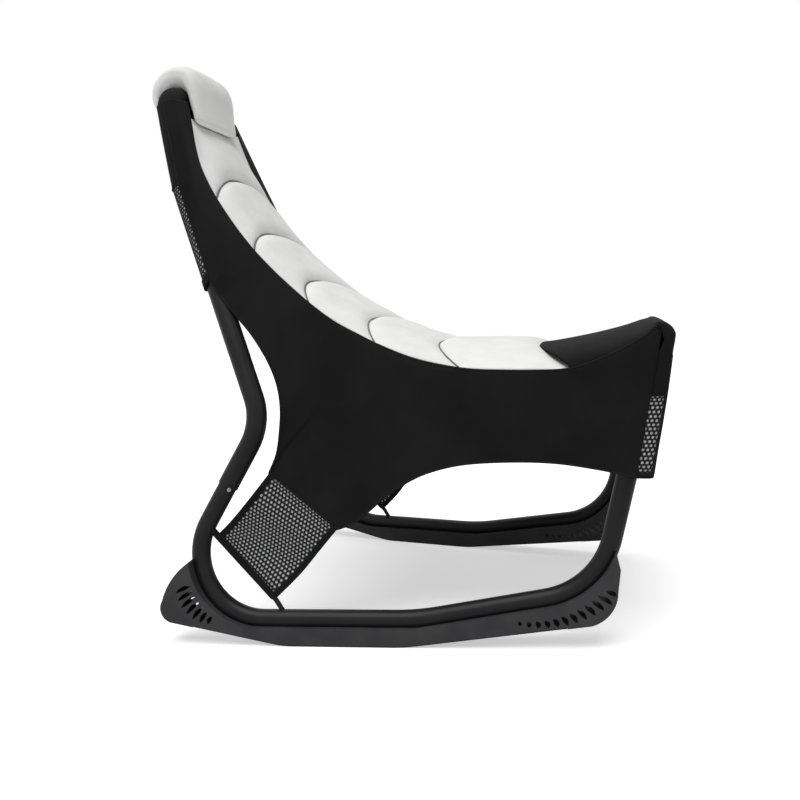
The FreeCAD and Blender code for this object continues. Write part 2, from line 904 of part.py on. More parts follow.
def skinned(rows):
    faces = []
    for first, second in zip(rows, rows[1:]):
        for edgeA, edgeB in zip(first, second):
            faces.append(Part.makeRuledSurface(edgeA, edgeB))
    for row in (rows[0], rows[-1]):
        low = row[2].copy()
        low.reverse()
        faces.append(Part.makeRuledSurface(row[0], low))
    shell = Part.makeShell(faces)
    shell.sewShape()
    solid = Part.Solid(Part.Shell(shell.Faces))
    if solid.Volume < 0:
        solid.reverse()
    return solid


feature("seat_pad", skinned(pad_rows()))


# Front cover over the crossbar

def panel_row(forward, half, height, normalForward, normalHeight, crown):
    normal = Vector(0, -normalForward, normalHeight).normalize()
    edge = place(forward, half, height)
    middle = place(forward, 0, height) + normal * crown
    low = edge - normal * fabric
    lowMiddle = middle - normal * fabric
    return [
        arc_through(edge, middle, mirrored(edge)),
        Part.LineSegment(mirrored(edge), mirrored(low)).toShape(),
        arc_through(mirrored(low), lowMiddle, low),
        Part.LineSegment(low, edge).toShape(),
    ]


def front_rows():
    roll = sleeveInside + fabric
    centreForward = size("seatFrontForward")
    centreHeight = size("seatFrontHeight")
    half = size("seatFrontHalf") + sleeveRadius
    rows = []
    start = padSeams[-1]
    crest, tangent = crest_at(start[0] + 4)
    inset = fabric / 2 + gap + 0.4
    normal = Vector(0, 0, 1)
    edge = crest + Vector(inset, 0, 0)
    middle = place(start[1] + 4, 0, start[2])
    low = Vector(0, 0, -fabric)
    rows.append([
        arc_through(edge, middle, mirrored(edge)),
        Part.LineSegment(mirrored(edge), mirrored(edge + low)).toShape(),
        arc_through(mirrored(edge + low), middle + low, edge + low),
        Part.LineSegment(edge + low, edge).toShape(),
    ])
    ahead = centreForward - 61
    crest, tangent = crest_at(ahead)
    rows.append(panel_row(ahead, abs(crest.x) - inset, crest.z, -0.3, 1, 26))
    for angle, crown in ((100, 3), (75, 1), (50, 1), (25, 1), (0, 1)):
        turn = math.radians(angle)
        forward = centreForward + roll * math.cos(turn)
        height = centreHeight + roll * math.sin(turn)
        rows.append(panel_row(forward, half - 1, height, math.cos(turn), math.sin(turn), crown))
    return rows


# Loop shaped covers: the front mesh and the rear of the back sleeve

def loop_wire(inner, thickness, normalPairs):
    outer = [point + push * thickness for point, push in zip(inner, normalPairs)]
    return Part.Wire(polygon_edges(outer + inner[::-1]))


def front_mesh_wire(height, ahead):
    leg = at_height(frontBend, frontLine, height)
    half = abs(leg.x) + upperRadius + gap
    forward = forward_of(leg) + ahead
    flapForward = min(forward_of(leg) + 4.0, forward - 17.0)
    corner = forward - 8.0
    inner = [
        place(flapForward, half, height),
        place(corner - 6.0, half, height),
        place(corner + 2.5, half - 2.5, height),
        place(forward - 2.0, half - 9.0, height),
        place(forward, 0, height),
    ]
    pushes = [
        Vector(-1, 0, 0),
        Vector(-1, 0, 0),
        Vector(-0.8, -0.6, 0),
        Vector(-0.3, -0.95, 0),
        Vector(0, -1, 0),
    ]
    inner += [mirrored(point) for point in inner[-2::-1]]
    pushes += [mirrored(push) for push in pushes[-2::-1]]
    return loop_wire(inner, fabric, pushes)


def make_front_panel():
    low = size("meshTopHeight") + gap
    high = size("seatFrontHeight") - 2.2
    rows = [front_mesh_wire(low, 26.6), front_mesh_wire(low + (high - low) * 0.53, 24.2), front_mesh_wire(high, 19.2)]
    apron = Part.makeLoft(rows, True, True)
    feature("front_panel", Part.makeCompound([skinned(front_rows()), apron]))


def make_front_mesh():
    top, foot = size("meshTopHeight"), size("meshHemHeight")
    rows = [front_mesh_wire(top, 26.5), front_mesh_wire(foot + (top - foot) * 0.3, 31), front_mesh_wire(foot, 29)]
    feature("front_mesh", Part.makeLoft(rows, True, True))


make_front_panel()
make_front_mesh()


def back_wire(forward):
    crest, heading, axis, touch, inside = back_section(forward)
    rear = Vector(0, -heading.z, heading.y)
    if rear.y < 0:
        rear = rear * -1
    start = math.atan2(touch.dot(rear), -touch.x) + gap / inside
    points = []
    pushes = []
    for step in range(6):
        angle = start + (math.pi / 2 - start) * step / 5
        push = Vector(-math.cos(angle), 0, 0) + rear * math.sin(angle)
        points.append(axis + push * inside)
        pushes.append(push)
    points += [mirrored(point) for point in reversed(points)]
    pushes += [mirrored(push) for push in reversed(pushes)]
    return loop_wire(points, fabric, pushes)


def back_cover(label, forwards):
    feature(label, Part.makeLoft([back_wire(forward) for forward in forwards], True, True))


back_cover("back_panel", panelCrests)
back_cover("back_mesh", [panelCrests[-1] + gap] + netCrests)


def ring_at(centre, heading, radius, sides=16):
    across = heading.cross(Vector(0, 1, 0)).normalize()
    corners = [centre + Rotation(heading, 360 * step / sides).multVec(across) * radius for step in range(sides)]
    return Part.Wire(polygon_edges(corners))


def make_top_sleeve():
    rise = toward(shoulder, topCorner)
    start = at_height(shoulder, rise, size("topHeight") - size("topSleeveDrop"))
    radius = size("topCornerRadius")
    first, middle, last = bend_at(start, topCorner, mirrored(topCorner), radius)
    arc = Part.Arc(first, middle, last).toShape()
    stations = [(start, rise)]
    for spot in arc.discretize(Number=8):
        stations.append((spot, arc.tangentAt(arc.Curve.parameter(spot))))
    stations += [(mirrored(spot), Vector(heading.x, -heading.y, -heading.z)) for spot, heading in stations[::-1]]
    inner = sleeveInside - gap
    outer = Part.makeLoft([ring_at(*station, inner + fabric) for station in stations], True, True)
    rise, fall = stations[0][1], stations[-1][1]
    stations[0] = (stations[0][0] - rise * 2, rise)
    stations[-1] = (stations[-1][0] + fall * 2, fall)
    bore = Part.makeLoft([ring_at(*station, inner) for station in stations], True, True)
    feature("top_sleeve", outer.cut(bore))


make_top_sleeve()


# Head pillow: a saddle over the top of the back

pillowInner = [
    # cavity from its front foot over the crossbar to its rear foot: forward of the crossbar and above it
    (48, -47), (28, 0), (17, 16.6), (1, 22.4), (-16.5, 17.4), (-24, 3), (-18, -19),
]
pillowOuter = [
    # outside from the front foot to the rear foot, then how far it draws in at the ends
    (50, -50, 0), (57, -38, 10), (58, -10, 20), (56, 26, 20), (49, 48, 18), (31, 64, 16),
    (3, 68, 14), (-23, 61, 14), (-40, 40, 16), (-45, 10, 16), (-37, -14, 13), (-25, -23, 4),
]
pillowMiddle = (10, 10)


def pillow_wire(share, shrink):
    # the front foot reaches lower and forward near the ends
    half = size("pillowHalfWidth") * share
    foot = share ** 2
    points = []
    for index, (ahead, rise) in enumerate(pillowInner[::-1]):
        low = foot if index == len(pillowInner) - 1 else 0
        points.append(place(size("topForward") + ahead + 3 * low, half, size("topHeight") + rise - 18 * low))
    for index, (ahead, rise, draw) in enumerate(pillowOuter):
        low = foot if index < 2 else 0
        away = Vector(0, pillowMiddle[0] - ahead, rise - pillowMiddle[1]).normalize()
        corner = place(size("topForward") + ahead + 3 * low, half, size("topHeight") + rise - 18 * low)
        points.append(corner - away * (draw * shrink))
    return Part.Wire(polygon_edges(points))


def make_pillow():
    stations = [(-1.0, 0.9), (-0.93, 0.45), (-0.75, 0.15), (-0.4, 0.02), (0, 0), (0.4, 0.02),
                (0.75, 0.15), (0.93, 0.45), (1.0, 0.9)]
    feature("head_pillow", Part.makeLoft([pillow_wire(*station) for station in stations], True, True))


make_pillow()

# Check every object and write the parts

doc.recompute()
for item in doc.Objects:
    if "Invalid" in item.State or "Error" in item.State:
        raise RuntimeError("failed object: " + item.Name)
os.makedirs("parts", exist_ok=True)
facets = 0
bad = []
for label, item in sorted(parts.items()):
    shape = item.Shape
    if shape.isNull() or not shape.isValid() or not shape.Solids:
        bad.append(label)
        continue
    shape.exportStep("parts/%s.step" % label)
    count = len(shape.tessellate(0.5)[1])
    facets += count
    box = shape.BoundBox
    print("%-26s solids %d volume %9.1f facets %5d x %.0f %.0f y %.0f %.0f z %.0f %.0f" % (
        label, len(shape.Solids), shape.Volume, count,
        box.XMin, box.XMax, box.YMin, box.YMax, box.ZMin, box.ZMax))
print("nodes", len(parts), "facets", facets)
if bad:
    raise RuntimeError("bad shapes: " + ", ".join(bad))
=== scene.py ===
import bpy
import bmesh
import json
import math
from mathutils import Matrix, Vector, noise
from mathutils.kdtree import KDTree


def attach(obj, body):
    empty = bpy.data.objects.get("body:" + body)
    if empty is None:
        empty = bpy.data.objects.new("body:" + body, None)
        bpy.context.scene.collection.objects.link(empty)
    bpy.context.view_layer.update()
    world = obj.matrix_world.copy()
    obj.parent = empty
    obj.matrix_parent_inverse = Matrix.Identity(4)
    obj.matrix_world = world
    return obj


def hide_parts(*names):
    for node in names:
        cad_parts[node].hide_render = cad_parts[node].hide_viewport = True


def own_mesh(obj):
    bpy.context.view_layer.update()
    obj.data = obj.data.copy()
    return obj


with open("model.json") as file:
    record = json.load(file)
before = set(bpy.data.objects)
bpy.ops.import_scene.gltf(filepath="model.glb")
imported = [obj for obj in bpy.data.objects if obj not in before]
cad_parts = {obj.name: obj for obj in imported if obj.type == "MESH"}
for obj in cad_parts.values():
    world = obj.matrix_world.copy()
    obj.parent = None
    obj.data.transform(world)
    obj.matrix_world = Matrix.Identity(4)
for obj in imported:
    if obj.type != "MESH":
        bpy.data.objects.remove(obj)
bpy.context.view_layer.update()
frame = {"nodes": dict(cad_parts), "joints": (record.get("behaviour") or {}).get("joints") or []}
nodes = frame["nodes"]
scene = bpy.context.scene
scene.view_settings.view_transform = "Standard"
print("frame loaded")

# camera at the photograph's angle, with the photograph's slight roll
cameraSet = {"place": (-1.424, -0.3915, 0.515), "turn": (83.79, 2.479, -74.05), "lens": 36.0, "sensor": 36.0}
cameraData = bpy.data.cameras.new("camera")
cameraData.lens = cameraSet["lens"]
cameraData.sensor_width = cameraSet["sensor"]
camera = bpy.data.objects.new("camera", cameraData)
camera.location = cameraSet["place"]
camera.rotation_euler = [math.radians(angle) for angle in cameraSet["turn"]]
scene.collection.objects.link(camera)
scene.camera = camera
print("camera placed")

# places and gaps are in millimetres; thicknesses of cloth and radii of cords are in metres
shared = {
    "forwardShift": 4.0,  # forward distances start this far behind the row's origin
    "sleeveRadius": 19.2, "curveSteps": 600,
    "cutShare": 0.92, "areaCap": 0.999,  # share of its flat rectangle that a sheet's outline fills
    "netColumn": 20,  # column that the height of the back and front nets is measured along
}


def spot(forward, half, height):  # a point of the right half, in metres
    return Vector((-half, shared["forwardShift"] - forward, height)) * 0.001


def flip(point):  # the same point on the left half
    return Vector((-point.x, point.y, point.z))


def curveThrough(points, share, corners=()):  # smooth curve through the points, share 0 to 1
    count = len(points) - 1
    place = min(max(share, 0.0), 1.0) * count
    index = min(int(place), count - 1)
    t = place - index
    b = points[index]
    c = points[index + 1]
    a = b if index in corners else points[max(index - 1, 0)]
    d = c if index + 1 in corners else points[min(index + 2, count)]
    return 0.5 * ((2 * b) + (c - a) * t + (2 * a - 5 * b + 4 * c - d) * t * t + (3 * b - a - 3 * c + d) * t ** 3)


def evenly(points, count):  # the same smooth curve, cut into equal lengths
    cuts = shared["curveSteps"]
    fine = [curveThrough(points, step / cuts) for step in range(cuts + 1)]
    run = [0.0]
    for a, b in zip(fine, fine[1:]):
        run.append(run[-1] + (b - a).length)
    result = []
    index = 0
    for step in range(count):
        want = run[-1] * step / (count - 1)
        while index < len(run) - 2 and run[index + 1] < want:
            index += 1
        span = max(run[index + 1] - run[index], 1e-9)
        result.append(fine[index].lerp(fine[index + 1], min((want - run[index]) / span, 1.0)))
    return result


def smoothRows(rough, steps):  # rows through the rough rows, column by column
    columns = range(len(rough[0]))
    return [[curveThrough([row[c] for row in rough], step / steps) for c in columns] for step in range(steps + 1)]


def lengthOf(points):
    return sum((b - a).length for a, b in zip(points, points[1:]))


def newPiece(name, verts, faces, finish):
    mesh = bpy.data.meshes.new(name)
    mesh.from_pydata([tuple(v) for v in verts], [], faces)
    mesh.validate()
    for face in mesh.polygons:
        face.use_smooth = True
    piece = bpy.data.objects.new(name, mesh)
    scene.collection.objects.link(piece)
    mesh.materials.append(finish)
    return piece


def gridPiece(name, rows, finish, thickness, wrap=False):  # wrap joins the last column to the first
    across = len(rows[0])
    verts = [point for row in rows for point in row]
    faces = []
    for r in range(len(rows) - 1):
        for c in range(across if wrap else across - 1):
            here, beside = r * across + c, r * across + (c + 1) % across
            faces.append((here, beside, beside + across, here + across))
    piece = newPiece(name, verts, faces, finish)
    if thickness:
        if not wrap:
            layUv(piece, rows)
        solid = piece.modifiers.new("cloth thickness", "SOLIDIFY")
        solid.thickness = thickness
        solid.offset = 0
    return piece


def layUv(piece, rows):  # cloth laid flat at its own size, in metres
    layer = piece.data.uv_layers.new(name="cloth")
    across = len(rows[0])
    flat = {}
    for r, row in enumerate(rows):
        run = 0.0
        for c, point in enumerate(row):
            if c:
                run += (point - row[c - 1]).length
            flat[r * across + c] = [run, 0.0]
        for c in range(across):
            flat[r * across + c][0] -= run / 2
    for c in range(across):
        run = 0.0
        for r in range(len(rows)):
            if r:
                run += (rows[r][c] - rows[r - 1][c]).length
            flat[r * across + c][1] = run
    for loop in piece.data.loops:
        layer.data[loop.index].uv = flat[loop.vertex_index]


def cordPiece(name, points, radius, finish):  # piping, hem roll or thread
    curve = bpy.data.curves.new(name, "CURVE")
    curve.dimensions = "3D"
    curve.bevel_depth = radius
    curve.bevel_resolution = 3
    line = curve.splines.new("POLY")
    line.points.add(len(points) - 1)
    for knot, point in zip(line.points, points):
        knot.co = (*point, 1)
    curve.use_fill_caps = True
    piece = bpy.data.objects.new(name, curve)
    scene.collection.objects.link(piece)
    curve.materials.append(finish)
    return piece


# finishes: cloud drifts in tone and roughness, grain is the fine relief and stands in for a missing cloud

brushed = {"metal": 1.0, "grain": (300.0, 2.0, 0.5), "bump": (0.08, 0.0002)}
finishLooks = {  # cloud and grain: scale, detail, roughness; bump: strength, distance
    "powderCoat": {
        "colour": (0.01, 0.01, 0.011), "rough": 0.38, "specular": 0.16, "cloud": (14.0, 3.0, 0.5),
        "tones": ((0.0085, 0.0085, 0.0095), (0.0125, 0.0125, 0.0135)), "roughSpan": (0.3, 0.42),
        "grain": (900.0, 2.0, 0.6), "bump": (0.35, 0.0004)},
    "shoePlastic": {
        "colour": (0.03, 0.03, 0.032), "rough": 0.5, "specular": 0.3, "cloud": (18.0, 2.0, 0.5),
        "tones": ((0.024, 0.024, 0.026), (0.038, 0.038, 0.04)), "roughSpan": (0.45, 0.62),
        "grain": (700.0, 3.0, 0.6), "bump": (0.3, 0.0003)},
    "gripRubber": {
        "colour": (0.018, 0.018, 0.018), "rough": 0.85, "tones": ((0.014, 0.014, 0.014), (0.026, 0.026, 0.026)),
        "grain": (420.0, 3.0, 0.7), "bump": (0.5, 0.0005)},
    "dullPlate": {
        "colour": (0.3, 0.3, 0.31), "rough": 0.42, "roughSpan": (0.336, 0.546), **brushed},
    "springSteel": {
        "colour": (0.35, 0.35, 0.36), "rough": 0.4, "roughSpan": (0.32, 0.52), **brushed},
    "blackScrew": {
        "colour": (0.05, 0.05, 0.052), "rough": 0.45, "roughSpan": (0.36, 0.585), **brushed},
    "blackKnit": {
        "colour": (0.0085, 0.0085, 0.009), "rough": 0.95, "sheen": 0.02, "specular": 0.1, "cloud": (9.0, 4.0, 0.6),
        "tones": ((0.0070, 0.0070, 0.0074), (0.0105, 0.0105, 0.0109)),
        "grain": (1500.0, 3.0, 0.6), "bump": (0.35, 0.0006)},
    "hemTape": {
        "colour": (0.009, 0.009, 0.0095), "rough": 0.85, "sheen": 0.02, "specular": 0.12,
        "tones": ((0.007, 0.007, 0.0074), (0.012, 0.012, 0.0125)),
        "grain": (1100.0, 1.0, 0.4), "bump": (0.5, 0.0005)},
    "netThread": {
        "colour": (0.013, 0.013, 0.014), "rough": 0.8, "sheen": 0.04, "specular": 0.15,
        "tones": ((0.009, 0.009, 0.01), (0.022, 0.022, 0.023)), "grain": (1600.0, 2.0, 0.6), "bump": (0.4, 0.0004)},
    "netLining": {
        "colour": (0.72, 0.72, 0.72), "rough": 0.9, "sheen": 0.2,
        "tones": ((0.66, 0.66, 0.66), (0.78, 0.78, 0.78)), "grain": (1300.0, 2.0, 0.6), "bump": (0.4, 0.0005)},
    "paleSuede": {
        "colour": (0.83, 0.83, 0.825), "rough": 0.95, "sheen": 0.15, "cloud": (22.0, 4.0, 0.55),
        "tones": ((0.8, 0.8, 0.795), (0.86, 0.86, 0.855)), "grain": (1250.0, 4.0, 0.7), "bump": (0.5, 0.0009)},
    # dark grey of the cords in the pad's seams: painted shade of the crevices between the segments
    "seamShadeGrey": {"colour": (0.16, 0.16, 0.165), "rough": 0.9},
}
lookSet = {"sheenRough": 0.5, "toneSpan": (0.35, 0.65)}  # part of the noise's range that the two tones span


def nodeOf(tree, kind, numbers, feeds):  # a shader node, its own numbers and what feeds it
    node = tree.nodes.new("ShaderNode" + kind)
    for socket, value in numbers.items():
        node.inputs[socket].default_value = value
    for socket, source in feeds.items():
        tree.links.new(source, node.inputs[socket])
    return node


def noiseNode(tree, scale, detail, rough):
    place = nodeOf(tree, "TexCoord", {}, {}).outputs["Object"]
    numbers = {"Scale": scale, "Detail": detail, "Roughness": rough}
    return nodeOf(tree, "TexNoise", numbers, {"Vector": place}).outputs["Fac"]


def finishOf(name, look):
    finish = bpy.data.materials.new(name)
    finish.use_nodes = True
    tree = finish.node_tree
    inputs = tree.nodes["Principled BSDF"].inputs
    inputs["Base Color"].default_value = (*look["colour"], 1)
    inputs["Roughness"].default_value = look["rough"]
    inputs["Metallic"].default_value = look.get("metal", 0.0)
    if "specular" in look:
        inputs["Specular IOR Level"].default_value = look["specular"]
    if "sheen" in look:
        inputs["Sheen Weight"].default_value = look["sheen"]
        inputs["Sheen Roughness"].default_value = lookSet["sheenRough"]
    if "grain" in look:
        grain = noiseNode(tree, *look["grain"])
        drift = noiseNode(tree, *look["cloud"]) if "cloud" in look else grain
        strength, distance = look["bump"]
        relief = nodeOf(tree, "Bump", {"Strength": strength, "Distance": distance}, {"Height": grain})
        tree.links.new(relief.outputs["Normal"], inputs["Normal"])
    if "tones" in look:
        ramp = nodeOf(tree, "ValToRGB", {}, {"Fac": drift})
        for element, position, tone in zip(ramp.color_ramp.elements, lookSet["toneSpan"], look["tones"]):
            element.position = position
            element.color = (*tone, 1)
        tree.links.new(ramp.outputs["Color"], inputs["Base Color"])
    if "roughSpan" in look:
        low, high = look["roughSpan"]
        span = nodeOf(tree, "MapRange", {"To Min": low, "To Max": high}, {"Value": drift})
        tree.links.new(span.outputs["Result"], inputs["Roughness"])
    return finish


finishes = {name: finishOf(name, look) for name, look in finishLooks.items()}
knit, hem, thread = finishes["blackKnit"], finishes["hemTape"], finishes["netThread"]
lining, suede = finishes["netLining"], finishes["paleSuede"]
nodeFinish = {
    "back_frame_tube": "powderCoat", "front_frame_tube": "powderCoat", "runner_tube": "powderCoat",
    "tail_rod": "powderCoat", "rocker_shoe": "shoePlastic", "grip_strip": "gripRubber",
    "shoe_screws": "blackScrew", "snap_button": "dullPlate", "snap_spring": "springSteel",
}
for nodeName, node in nodes.items():
    for start, finishName in nodeFinish.items():
        if nodeName.startswith(start):
            node.data.materials.clear()
            node.data.materials.append(finishes[finishName])
print("frame finished")

# each leaf spring beside a snap button gets a mesh of its own
for joint in frame["joints"]:
    if not joint["child"].startswith("snap_button"):
        continue
    spring = nodes[joint["child"].replace("button", "spring")]
    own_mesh(spring)
print("springs set")

# crest: the line between the pale pad and the black side

crest = {
    "points": [(-376, 84, 926), (-363, 93, 885), (-337, 114, 790), (-283, 131, 700), (-207, 150, 612),
               (-106, 171, 526), (-35, 184, 484), (60, 197, 443), (150, 204, 424), (230, 206.5, 420),
               (304, 208, 421), (380, 216, 447), (441, 232, 485)],
    "steps": 480,
}
crestSpots = [spot(*point) for point in crest["points"]]
crestLine = [curveThrough(crestSpots, step / crest["steps"]) for step in range(crest["steps"] + 1)]


def forwardOf(point):
    return shared["forwardShift"] - point.y * 1000


def crestAt(forward):
    for a, b in zip(crestLine, crestLine[1:]):
        if forwardOf(b) >= forward:
            span = forwardOf(b) - forwardOf(a)
            return a.lerp(b, (forward - forwardOf(a)) / span), (b - a).normalized()
    return crestLine[-1], (crestLine[-1] - crestLine[-2]).normalized()


# back tube line, for the cloth that runs round it

backTube = {
    "points": [(-232, 280, 250), (-176, 260, 350), (-331, 168, 712), (-344.3, 160.3, 745), (-355.7, 149.1, 779),
               (-401, 103, 922)],
    "seamTurn": -6.0, "seamLeast": 0.03,  # degrees from straight out to the side seam, radians past the touch
}
backLine = [spot(*point) for point in backTube["points"]]


def backSection(forward, radius):  # plane square to the crest: where the cloth's tangent meets the tube
    crestPoint, heading = crestAt(forward)
    heading = -Vector((0, heading.y, heading.z)).normalized()
    axis, rise = backLine[-1], (backLine[-1] - backLine[-2]).normalized()
    for a, b in zip(backLine, backLine[1:]):
        before, after = (a - crestPoint).dot(heading), (b - crestPoint).dot(heading)
        if before * after <= 0:
            axis, rise = a.lerp(b, before / (before - after)), (b - a).normalized()
    rear = Vector((0, -heading.z, heading.y))
    rear = rear if rear.y > 0 else -rear
    reach = axis - crestPoint
    outward = reach.cross(heading).normalized()
    outward = -outward if outward.x > 0 else outward
    ring = radius * 0.001 / abs(heading.dot(rise))
    lean = ring / reach.length
    touch = outward * math.sqrt(1 - lean ** 2) - reach.normalized() * lean
    angle = math.atan2(touch.dot(rear), -touch.x)
    return crestPoint, axis, rear, ring, angle


def aroundTube(axis, rear, ring, angle):
    return axis + (Vector((-math.cos(angle), 0, 0)) + rear * math.sin(angle)) * ring


def seamAngle(angle):
    return max(math.radians(backTube["seamTurn"]), angle + backTube["seamLeast"])


# side covers

sideCover = {
    "tubeRows": [-371, -367, -363, -358, -350, -338, -324, -310, -292, -272, -247, -222],
    "freeRows": [  # crest forward, then edge forward, half width, height
        (-195, -258, 224.5, 559), (-168, -242, 226, 540), (-140, -225, 225, 519), (-106, -201, 227, 491),
        (-80, -175, 231, 451), (-60, -157, 237, 412), (-40, -149, 244, 373), (-22, -150, 250, 335),
        (-8, -155, 257, 297), (5, -168, 262, 267),
        (25, -112, 260, 222), (45, -57, 258, 177), (62, -32, 250, 186), (80, -8, 242, 204),
        (105, 22, 235, 229), (135, 61, 229, 253), (165, 100, 225, 268), (205, 150, 222, 278),
        (250, 220, 221, 282), (304, 285, 223, 281), (350, 345, 229, 274), (400, 388, 237.5, 267),
        (440, 402, 238.5, 264)],
    "straight": 20, "wrap": 6, "edgeShare": 0.93, "each": 5,
    "sag": 5.0, "sagMiddle": 0.6, "sagReach": 0.36,  # where along the cover it sags inward
    "corners": [11, 21, 23],  # rows where the cloth leaves the tube, at the tail's rear and front corners
    "cornerPower": 5,  # how fast the corners smooth out away from the edge
    "thickness": 0.0024, "hemRadius": 0.0019, "pipingRadius": 0.0018,
}


def sideRows():
    rows = []
    straight, wrap = sideCover["straight"], sideCover["wrap"]
    for forward in sideCover["tubeRows"]:
        crestPoint, axis, rear, ring, angle = backSection(forward, shared["sleeveRadius"])
        touch, last = aroundTube(axis, rear, ring, angle), seamAngle(angle)
        row = [crestPoint.lerp(touch, step / straight) for step in range(straight + 1)]
        row += [aroundTube(axis, rear, ring, angle + (last - angle) * step / wrap) for step in range(1, wrap + 1)]
        rows.append(row)
    for forward, edgeForward, half, height in sideCover["freeRows"]:
        top, low = crestAt(forward)[0], spot(edgeForward, half, height)
        turn = top.lerp(low, sideCover["edgeShare"])
        row = [top.lerp(turn, step / straight) for step in range(straight + 1)]
        rows.append(row + [turn.lerp(low, step / wrap) for step in range(1, wrap + 1)])
    return rows


def sideGrid(rows):
    grid = []
    lines = (len(rows) - 1) * sideCover["each"]
    last = len(rows[0]) - 1
    for step in range(lines + 1):
        share = step / lines
        free = max(0.0, 1 - abs(share - sideCover["sagMiddle"]) / sideCover["sagReach"])
        line = []
        for column in range(last + 1):
            track = [row[column] for row in rows]
            across = column / last
            cornered = curveThrough(track, share, sideCover["corners"])
            point = curveThrough(track, share).lerp(cornered, across ** sideCover["cornerPower"])
            inward = math.sin(math.pi * across) * sideCover["sag"] * free * 0.001
            line.append(point + Vector((inward, 0, 0)))
        grid.append(line)
    return grid


def flipped(rows):
    return [[flip(point) for point in row] for row in rows]


rightGrid = sideGrid(sideRows())
rowTurns = (("right", lambda rows: rows), ("left", flipped))
pointTurns = (("right", lambda point: point), ("left", flip))


def dress(piece, *replaced, body="frame"):  # hangs the piece under its body and hides the parts it replaces
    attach(piece, body)
    if replaced:
        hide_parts(*replaced)


for side, turn in rowTurns:
    grid = turn(rightGrid)
    cover = gridPiece("side_cover_" + side, grid, knit, sideCover["thickness"])
    dress(cover, "side_membrane_" + side)
    freeEdge = [row[-1] for row in grid[(len(sideCover["tubeRows"]) - 1) * sideCover["each"]:]]
    roll = cordPiece("side_hem_" + side, freeEdge, sideCover["hemRadius"], hem)
    dress(roll)
    lip = cordPiece("crest_piping_" + side, [row[0] for row in grid], sideCover["pipingRadius"], hem)
    dress(lip)
print("side covers laid")

# open net: cells with oval holes over a pale lining

net = {"pitch": 6.6, "rise": 5.7, "hole": (4.3, 3.9), "thickness": 0.0014,
       "least": 3, "wholeShare": 0.98, "weld": 0.00008}


def netPiece(name, surface, width, height, thickness):  # width and height only set the count of cells
    columns = max(int(round(width * 1000 / net["pitch"])), net["least"])
    lines = max(int(round(height * 1000 / net["rise"])), net["least"])
    holeU = net["hole"][0] / net["pitch"] / columns / 2
    holeV = net["hole"][1] / net["rise"] / lines / 2
    verts, faces = [], []
    around = [(-1, -1), (0, -1), (1, -1), (1, 0), (1, 1), (0, 1), (-1, 1), (-1, 0)]
    for line in range(lines):
        shift = 0.5 if line % 2 else 0.0
        for column in range(columns + 1):
            u = (column + shift) / columns
            v = (line + 0.5) / lines
            low, high = max(u - 0.5 / columns, 0.0), min(u + 0.5 / columns, 1.0)
            if high - low < 1e-6:
                continue
            whole = high - low > net["wholeShare"] / columns  # half cells at the sides stay closed
            base = len(verts)
            for x, y in around:
                edge = {-1: low, 0: u if whole else (low + high) / 2, 1: high}[x]
                verts.append(surface(edge, v + y * 0.5 / lines))
            if whole:
                for x, y in around:
                    reach = 1 / math.hypot(x, y)
                    verts.append(surface(u + x * reach * holeU, v + y * reach * holeV))
                for k in range(8):
                    n = (k + 1) % 8
                    faces.append((base + k, base + n, base + 8 + n, base + 8 + k))
            else:
                faces.append(tuple(base + k for k in range(8)))
    piece = newPiece(name, verts, faces, thread)
    work = bmesh.new()
    work.from_mesh(piece.data)
    bmesh.ops.remove_doubles(work, verts=work.verts, dist=net["weld"])
    work.to_mesh(piece.data)
    work.free()
    solid = piece.modifiers.new("net thickness", "SOLIDIFY")
    solid.thickness = thickness
    solid.offset = 0
    dress(piece)


def surfaceFrom(rows):  # gives the point at a share across and a share down the rows
    def at(u, v):
        place = min(max(v, 0.0), 1.0) * (len(rows) - 1)
        index = min(int(place), len(rows) - 2)
        t = place - index
        across = min(max(u, 0.0), 1.0) * (len(rows[0]) - 1)
        column = min(int(across), len(rows[0]) - 2)
        s = across - column
        a = rows[index][column].lerp(rows[index][column + 1], s)
        b = rows[index + 1][column].lerp(rows[index + 1][column + 1], s)
        return a.lerp(b, t)
    return at


# tail meshes down to the rods

tail = {  # the first points of the two edges are the ends of the seam with the side cover
    "rearEdge": [(-168, 262.2, 266.5), (-203, 276, 223), (-229, 287, 192), (-251, 295, 170)],
    "frontEdge": [(-57.5, 258.2, 176.5), (-86, 268, 143), (-116, 280, 107), (-157, 295, 67)],
    "hem": 0.062, "hemLap": 0.01, "hemThickness": 0.0032, "netEnd": 0.985, "netThickness": 0.0026,
    "bow": 0.004, "bowRun": 1.1,  # how far the middle bows inward, in metres
    "rod": ((-262, 298.5, 186), (-157, 294.7, 72.5)), "rodRadius": 0.0056, "rodSteps": 12,
}


def tailGrid(lowU, highU, lowV, highV, columns, lines):
    upper = [spot(*point) for point in tail["rearEdge"]]
    lower = [spot(*point) for point in tail["frontEdge"]]
    rows = []
    for line in range(lines + 1):
        v = lowV + (highV - lowV) * line / lines
        a, b = curveThrough(upper, v), curveThrough(lower, v)
        row = []
        for column in range(columns + 1):
            u = lowU + (highU - lowU) * column / columns
            bow = math.sin(math.pi * u) * tail["bow"] * math.sin(math.pi * min(v * tail["bowRun"], 1.0))
            row.append(a.lerp(b, u) + Vector((bow, 0, 0)))
        rows.append(row)
    return rows


